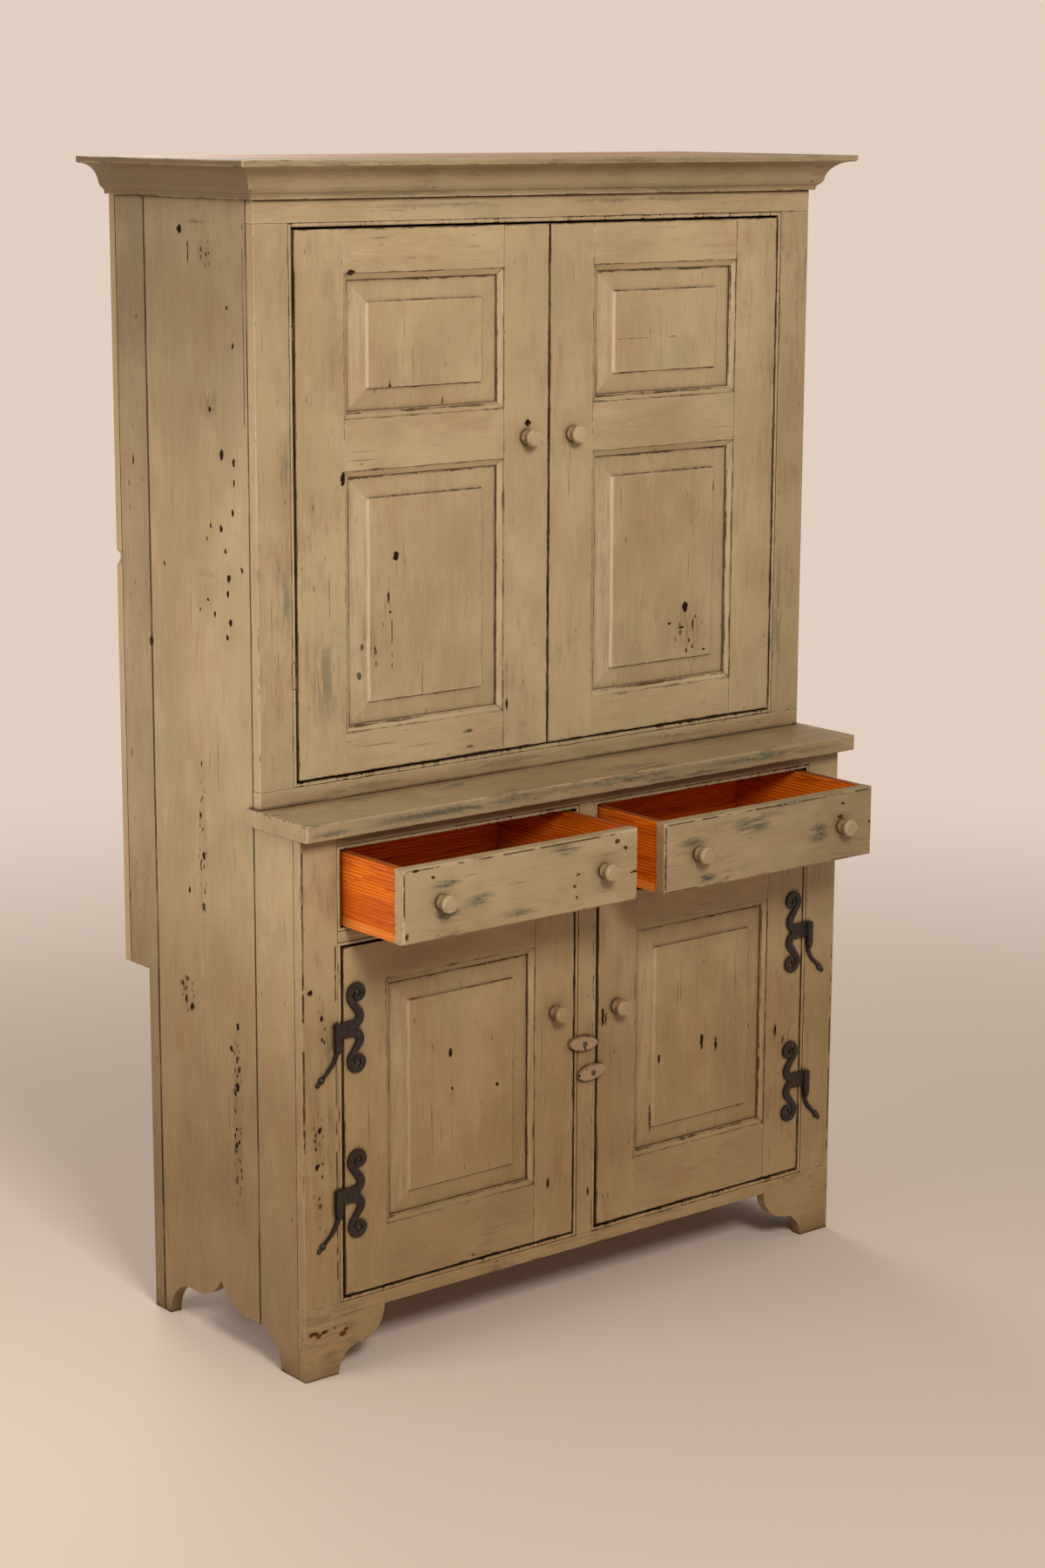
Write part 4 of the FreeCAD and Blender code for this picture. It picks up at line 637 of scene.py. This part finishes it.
def black_iron(name):
    """Forged iron, hammered and slightly worn on its high places."""
    shader = Shader(name)
    hammer = shader.noise(shader.place, 130.0, 3.0, 0.5)
    pits = shader.noise(shader.place, 600.0, 2.0)
    edge = shader.ramp(shader.arris(shader.rounded(0.002)), 0.03, 0.3)
    bright = shader.times(edge, shader.ramp(hammer, 0.4, 0.7), 0.7)
    colour = shader.tint(linear(IRON), hammer, 0.3, 0.7, 0.5, IRON_LIGHT)
    colour = shader.mix(bright, colour, linear(IRON_LIGHT))
    shader.set(Base_Color=colour, Metallic=0.5, Roughness=shader.ramp(pits, 0.2, 0.8, 0.38, 0.6))
    shader.bump(shader.math("ADD", hammer, shader.times(pits, 0.3)), 0.5, 0.0012)
    return shader.material


def button_paint(name):
    """Pale paint on the turn buttons, chipped to dark wood on the rims."""
    shader = Shader(name)
    cloud = shader.noise(shader.place, 90.0, 4.0)
    colour = shader.mix(shader.ramp(cloud, 0.35, 0.65), linear(BUTTON_PAINT), linear(BUTTON_RUBBED))
    chip = shader.ramp(shader.noise(shader.place, 75.0, 3.0, 0.6, 0.4), 0.6, 0.64)
    edge = shader.ramp(shader.arris(shader.rounded(0.003)), 0.02, 0.2)
    worn = shader.most(chip, shader.times(edge, shader.ramp(cloud, 0.5, 0.56)))
    colour = shader.mix(worn, colour, linear(CHIP))
    colour = shader.tint(colour, shader.crevice(0.008), 0.3, 0.8, 1.0, GLAZE)
    shader.set(Base_Color=colour, Roughness=shader.ramp(worn, 0.0, 1.0, 0.45, 0.8))
    shader.bump(shader.math("SUBTRACT", cloud, worn), 0.4, 0.001)
    return shader.material


def dull_steel(name):
    """Brushed screws."""
    shader = Shader(name)
    brushed = shader.noise(shader.vector("MULTIPLY", shader.place, (1, 1, 12)), 300.0, 3.0)
    colour = shader.mix(shader.ramp(brushed, 0.3, 0.7), linear(STEEL), linear(IRON_LIGHT))
    shader.set(Base_Color=colour, Metallic=0.9, Roughness=shader.ramp(brushed, 0.2, 0.8, 0.35, 0.55))
    shader.bump(brushed, 0.2, 0.0003)
    return shader.material


# Finish of each kind of piece
finishes = {
    "upright": worn_paint(
        "paint_upright", "Z", wear=1.6, marks=STILE_MARKS, pits=STILE_PITS, rubs=STILE_RUBS,
        dashes=STILE_DASHES, quirk=0.007, frames=((0.3, QUIRKS), (0.8, OPENINGS), (1.0, DOOR_EDGE_GLAZE_AND_SHADE)),
        shades=STILE_PAINTED_SHADES),
    "left_side": worn_paint(
        "paint_left_side", "Z", tone=0.96, smudges=0.1, looks="X", marks=SIDE_MARKS, growth=1.12,
        pits=SIDE_PITS, rubs=SIDE_RUBS, rubbing=0.5, rub_colour=GRIME, dashes=SIDE_DASHES,
        joints=SIDE_JOINTS, shades=SIDE_PAINTED_SHADES),
    "right_side": worn_paint("paint_right_side", "Z", smudges=0.2, looks="X"),
    "level": worn_paint(
        "paint_level", "X", chips=0.8, smudges=0.15, marks=RAIL_MARKS, rubs=RAIL_RUBS, quirk=0.007,
        frames=((0.5, QUIRKS), (1.0, OPENINGS), (1.0, DOOR_EDGE_GLAZE_AND_SHADE)), shades=LOW_DOOR_PAINTED_SHADES),
    "base": worn_paint("paint_base", "X", chips=0.8, smudges=0.5, marks=BASE_MARKS, red=1.0),
    "step": worn_paint(
        "paint_step", "X", tone=0.92, stained=0.16, chips=0.7, smudges=0.9, wear=2.0, rubs=STEP_RUBS,
        rubbing=0.8),
    "drawer": worn_paint(
        "paint_drawer", "X", tone=0.96, chips=0.8, smudges=0.4, wear=2.2, marks=DRAWER_MARKS, growth=0.8,
        red=0.8, rubs=DRAWER_RUBS, rubbing=0.9, dashes=DRAWER_DASHES, shades=DRAWER_PAINTED_SHADES, bare_back=True),
    # The cornice front's darker tone is partly the paint's own and partly painted shade of its downward
    # cove
    "cornice": worn_paint("paint_cornice", "X", tone=0.76, chips=0.6, smudges=0.3, rubs=CORNICE_RUBS),
    # The returns' low tone is painted shade: they face down and away from the light
    "returns": worn_paint("paint_returns_painted_shade", "Y", tone=0.42, stained=0.45, chips=0.5, smudges=0.2),
    "panel": worn_paint(
        "paint_panel", "Z", tone=1.03, chips=1.1, smudges=0.1, wear=0.7, marks=PANEL_MARKS, pits=PANEL_PITS,
        pitting=0.35, quirk=0.009, glint=0.9, dashes=PANEL_DASHES, glaze=(0.018, 0.3, 0.5),
        frames=((1.7, OPENINGS), (0.5, FIELDS)), shades=LOW_DOOR_PAINTED_SHADES),
    "bead": worn_paint(
        "paint_bead", "Z", tone=1.04, chips=0.4, smudges=0.2, wear=1.6, glaze=(0.014, 0.24, 0.44),
        frames=((0.1, BEADS), (0.5, BEADS_INSIDE))),
    "knob": worn_paint(
        "paint_knob", "Y", chips=0.8, smudges=0.3, wear=0.9, gloss=0.3, glaze=(0.018, 0.26, 0.46)),
    "pine_x": bare_wood("bare_pine_level", "X", BARE_PINE, BARE_PINE_DARK),
    "pine_y": bare_wood("bare_pine_deep", "Y", BARE_PINE, BARE_PINE_DARK),
    "pine_z": bare_wood("bare_pine_upright", "Z", BARE_PINE, BARE_PINE_DARK, painted_ends=True),
    "drawer_box": drawer_wood("drawer_pine"),
    "drawer_floor": bare_wood(
        "drawer_floor_pine", "X", DRAWER_FLOOR, DRAWER_FLOOR_DARK, rings=11.0, rough=0.4),
    "iron": black_iron("black_iron"),
    "button": button_paint("button_paint"),
    "steel": dull_steel("dull_steel"),
}

# Finish by a word in the name of a node; the first word that fits counts
RULES = (
    ("turn_button_screws", "steel"), ("turn_button", "button"), ("upper_hinge", "bead"),
    ("upper_left_door_hinge", "bead"), ("upper_right_door_hinge", "bead"), ("hinge", "iron"),
    ("pintles", "iron"), ("knob", "knob"), ("drawer_front", "drawer"), ("drawer_box", "drawer_box"),
    ("drawer_bottom", "drawer_floor"), ("drawer_runners", "pine_y"), ("right_side_board", "right_side"),
    ("right_rear_side", "right_side"), ("right_front_side", "right_side"), ("side_board", "left_side"),
    ("panel", "panel"), ("beads", "bead"), ("rails", "level"), ("stile", "upright"),
    ("base_board", "base"), ("step_top", "step"), ("cornice_front", "cornice"),
    ("cornice_returns", "returns"), ("cleats", "pine_y"), ("back_boards", "pine_z"),
    ("back_ledge", "pine_x"), ("top_boards", "pine_x"), ("shel", "pine_x"), ("deck", "pine_x"),
    ("bottom_board", "pine_x"),
)


def finish_of(name):
    """Name of a node's finish."""
    return next(finish for word, finish in RULES if word in name)


# Softened edges: radius in metres for each kind of piece
EDGE_SOFTNESS = {
    "left_side": 0.0016, "right_side": 0.0016, "iron": 0.0011, "knob": 0.0008, "bead": 0.0003,
    "button": 0.0006, "steel": 0.0004, "step": 0.0028, "panel": 0.0008, "drawer": 0.0012,
    "returns": 0.0006, "cornice": 0.0006, "pine_z": 0.0022, "pine_x": 0.0018,
}
PLAIN_SOFTNESS = 0.0011
EDGE_STEPS = 2
WELD_DISTANCE = 0.00002
# Edges are softened from this angle up, and stay sharp below it down to the angle of a crease
BEVEL_ANGLE = math.radians(35)
CREASE_ANGLE = math.radians(18)
FINE_CREASE_ANGLE = math.radians(5)
NORMAL_WEIGHT = 100


def crease_nodes(name, least):
    """Fresh normals: an edge stays sharp from the least angle up to the angle at which it is softened."""
    group = bpy.data.node_groups.new(name, "GeometryNodeTree")
    group.interface.new_socket("Geometry", in_out="INPUT", socket_type="NodeSocketGeometry")
    group.interface.new_socket("Geometry", in_out="OUTPUT", socket_type="NodeSocketGeometry")
    given = group.nodes.new("NodeGroupInput")
    result = group.nodes.new("NodeGroupOutput")
    angle = group.nodes.new("GeometryNodeInputMeshEdgeAngle")
    tests = []
    for operation, limit in (("GREATER_THAN", least), ("LESS_THAN", BEVEL_ANGLE)):
        test = group.nodes.new("FunctionNodeCompare")
        test.operation = operation
        test.inputs[1].default_value = limit
        group.links.new(angle.outputs["Unsigned Angle"], test.inputs[0])
        tests.append(test.outputs[0])
    both = group.nodes.new("FunctionNodeBooleanMath")
    for test, socket in zip(tests, both.inputs):
        group.links.new(test, socket)
    normals = group.nodes.new("GeometryNodeSetMeshNormal")
    normals.inputs["Remove Custom"].default_value = True
    group.links.new(given.outputs[0], normals.inputs["Mesh"])
    group.links.new(both.outputs[0], normals.inputs["Edge Sharpness"])
    group.links.new(normals.outputs[0], result.inputs[0])
    return group


CREASES = crease_nodes("creases", CREASE_ANGLE)
FINE_CREASES = crease_nodes("fine_creases", FINE_CREASE_ANGLE)

for name, node in nodes.items():
    finish = finish_of(name)
    node.data.materials.clear()
    node.data.materials.append(finishes[finish])
    # The drawer boxes keep their edges as they are
    if finish == "drawer_box":
        continue
    weld = node.modifiers.new("weld", "WELD")
    weld.merge_threshold = WELD_DISTANCE
    creases = node.modifiers.new("creases", "NODES")
    creases.node_group = FINE_CREASES if finish == "panel" else CREASES
    soft = node.modifiers.new("soft_edges", "BEVEL")
    soft.width = EDGE_SOFTNESS.get(finish, PLAIN_SOFTNESS)
    soft.segments = EDGE_STEPS
    soft.limit_method = "ANGLE"
    soft.angle_limit = BEVEL_ANGLE
    weighted = node.modifiers.new("weighted_normals", "WEIGHTED_NORMAL")
    weighted.weight = NORMAL_WEIGHT
    weighted.keep_sharp = True

# Floor, light and camera: the floor turns into the background between two distances from the middle
FLOOR_RADIUS = 60.0
FLOOR_STEPS = 96
FADE_FROM = 1.3
FADE_TO = 4.5
FILL_COLOUR = (1.0, 0.97, 0.93, 1.0)
FILL_STRENGTH = 0.34
LAMP_COLOUR = (1.0, 0.98, 0.95)
# Lamps: place, target, size and power
LAMPS = {
    "key": ((-1.6, -4.0, 3.6), (0, 0, 1.5), 1.3, 166),
    "side_fill": ((-2.0, 0.15, 1.2), (-0.6, 0.1, 1.2), 0.8, 14),
    "back_fill": ((1.2, 4.2, 3.4), (0, 0, 1.2), 2.0, 70),
}
YAW = math.radians(CAMERA_YAW)
AHEAD = Vector((math.sin(YAW), math.cos(YAW), 0))
LEVEL = Vector((math.cos(YAW), -math.sin(YAW), 0))


def seen_directly(tree):
    """1 for the rays that show the background: from the camera, and in reflections and glass."""
    path = tree.nodes.new("ShaderNodeLightPath")
    seen = path.outputs["Is Camera Ray"]
    for kind in ("Is Glossy Ray", "Is Transmission Ray"):
        either = tree.nodes.new("ShaderNodeMath")
        either.operation = "MAXIMUM"
        tree.links.new(seen, either.inputs[0])
        tree.links.new(path.outputs[kind], either.inputs[1])
        seen = either.outputs[0]
    return seen


def floor_paint():
    """A pale floor that takes the object's shadow and turns into the background further out."""
    shader = Shader("pale_floor")
    shader.set(Base_Color=linear(FLOOR), Roughness=0.8)
    away = shader.ramp(shader.vector("LENGTH", shader.place, out="Value"), FADE_FROM, FADE_TO)
    glow = shader.add("ShaderNodeEmission")
    glow.inputs["Color"].default_value = linear(BACKDROP)
    mixed = shader.add("ShaderNodeMixShader")
    shader.put(mixed.inputs[0], shader.times(away, seen_directly(shader.tree)))
    shader.put(mixed.inputs[1], shader.surface.outputs[0])
    shader.put(mixed.inputs[2], glow.outputs[0])
    shader.put(shader.tree.nodes["Material Output"].inputs["Surface"], mixed.outputs[0])
    return shader.material


def floor():
    """A round floor."""
    turns = [2 * math.pi * step / FLOOR_STEPS for step in range(FLOOR_STEPS)]
    rim = [(FLOOR_RADIUS * math.cos(turn), FLOOR_RADIUS * math.sin(turn), 0.0) for turn in turns]
    mesh = bpy.data.meshes.new("floor")
    mesh.from_pydata(rim, [], [tuple(range(FLOOR_STEPS))])
    piece = bpy.data.objects.new("floor", mesh)
    bpy.context.collection.objects.link(piece)
    mesh.materials.append(floor_paint())


def lamp(name, place, target, size, power):
    """A square lamp that points at a target."""
    light = bpy.data.lights.new(name, "AREA")
    light.shape = "SQUARE"
    light.size = size
    light.energy = power
    light.color = LAMP_COLOUR
    piece = bpy.data.objects.new(name, light)
    piece.location = place
    piece.rotation_euler = (Vector(target) - Vector(place)).to_track_quat("-Z", "Y").to_euler()
    bpy.context.collection.objects.link(piece)


def backdrop():
    """A pale world for the camera and the reflections, and a soft fill for the rest."""
    world = bpy.data.worlds.new("studio")
    world.use_nodes = True
    bpy.context.scene.world = world
    tree = world.node_tree
    fill = tree.nodes["Background"]
    fill.inputs["Color"].default_value = FILL_COLOUR
    fill.inputs["Strength"].default_value = FILL_STRENGTH
    pale = tree.nodes.new("ShaderNodeBackground")
    pale.inputs["Color"].default_value = linear(BACKDROP)
    mixed = tree.nodes.new("ShaderNodeMixShader")
    tree.links.new(seen_directly(tree), mixed.inputs[0])
    tree.links.new(fill.outputs[0], mixed.inputs[1])
    tree.links.new(pale.outputs[0], mixed.inputs[2])
    tree.links.new(mixed.outputs[0], tree.nodes["World Output"].inputs["Surface"])


def camera():
    """The camera at its place and angles."""
    pitch, roll = math.radians(CAMERA_PITCH), math.radians(CAMERA_ROLL)
    ahead = AHEAD * math.cos(pitch) - Vector((0, 0, math.sin(pitch)))
    up = LEVEL.cross(ahead)
    right = math.cos(roll) * LEVEL + math.sin(roll) * up
    up = right.cross(ahead)
    data = bpy.data.cameras.new("camera")
    data.sensor_width = SENSOR
    data.lens = FOCAL_PIXELS / IMAGE_HEIGHT * SENSOR
    piece = bpy.data.objects.new("camera", data)
    turn = Matrix((right, up, -ahead)).transposed().to_4x4()
    piece.matrix_world = Matrix.Translation(CAMERA_PLACE) @ turn
    bpy.context.collection.objects.link(piece)
    bpy.context.scene.camera = piece


floor()
backdrop()
camera()
for name, setting in LAMPS.items():
    lamp(name, *setting)
bpy.context.scene.view_settings.view_transform = "Standard"
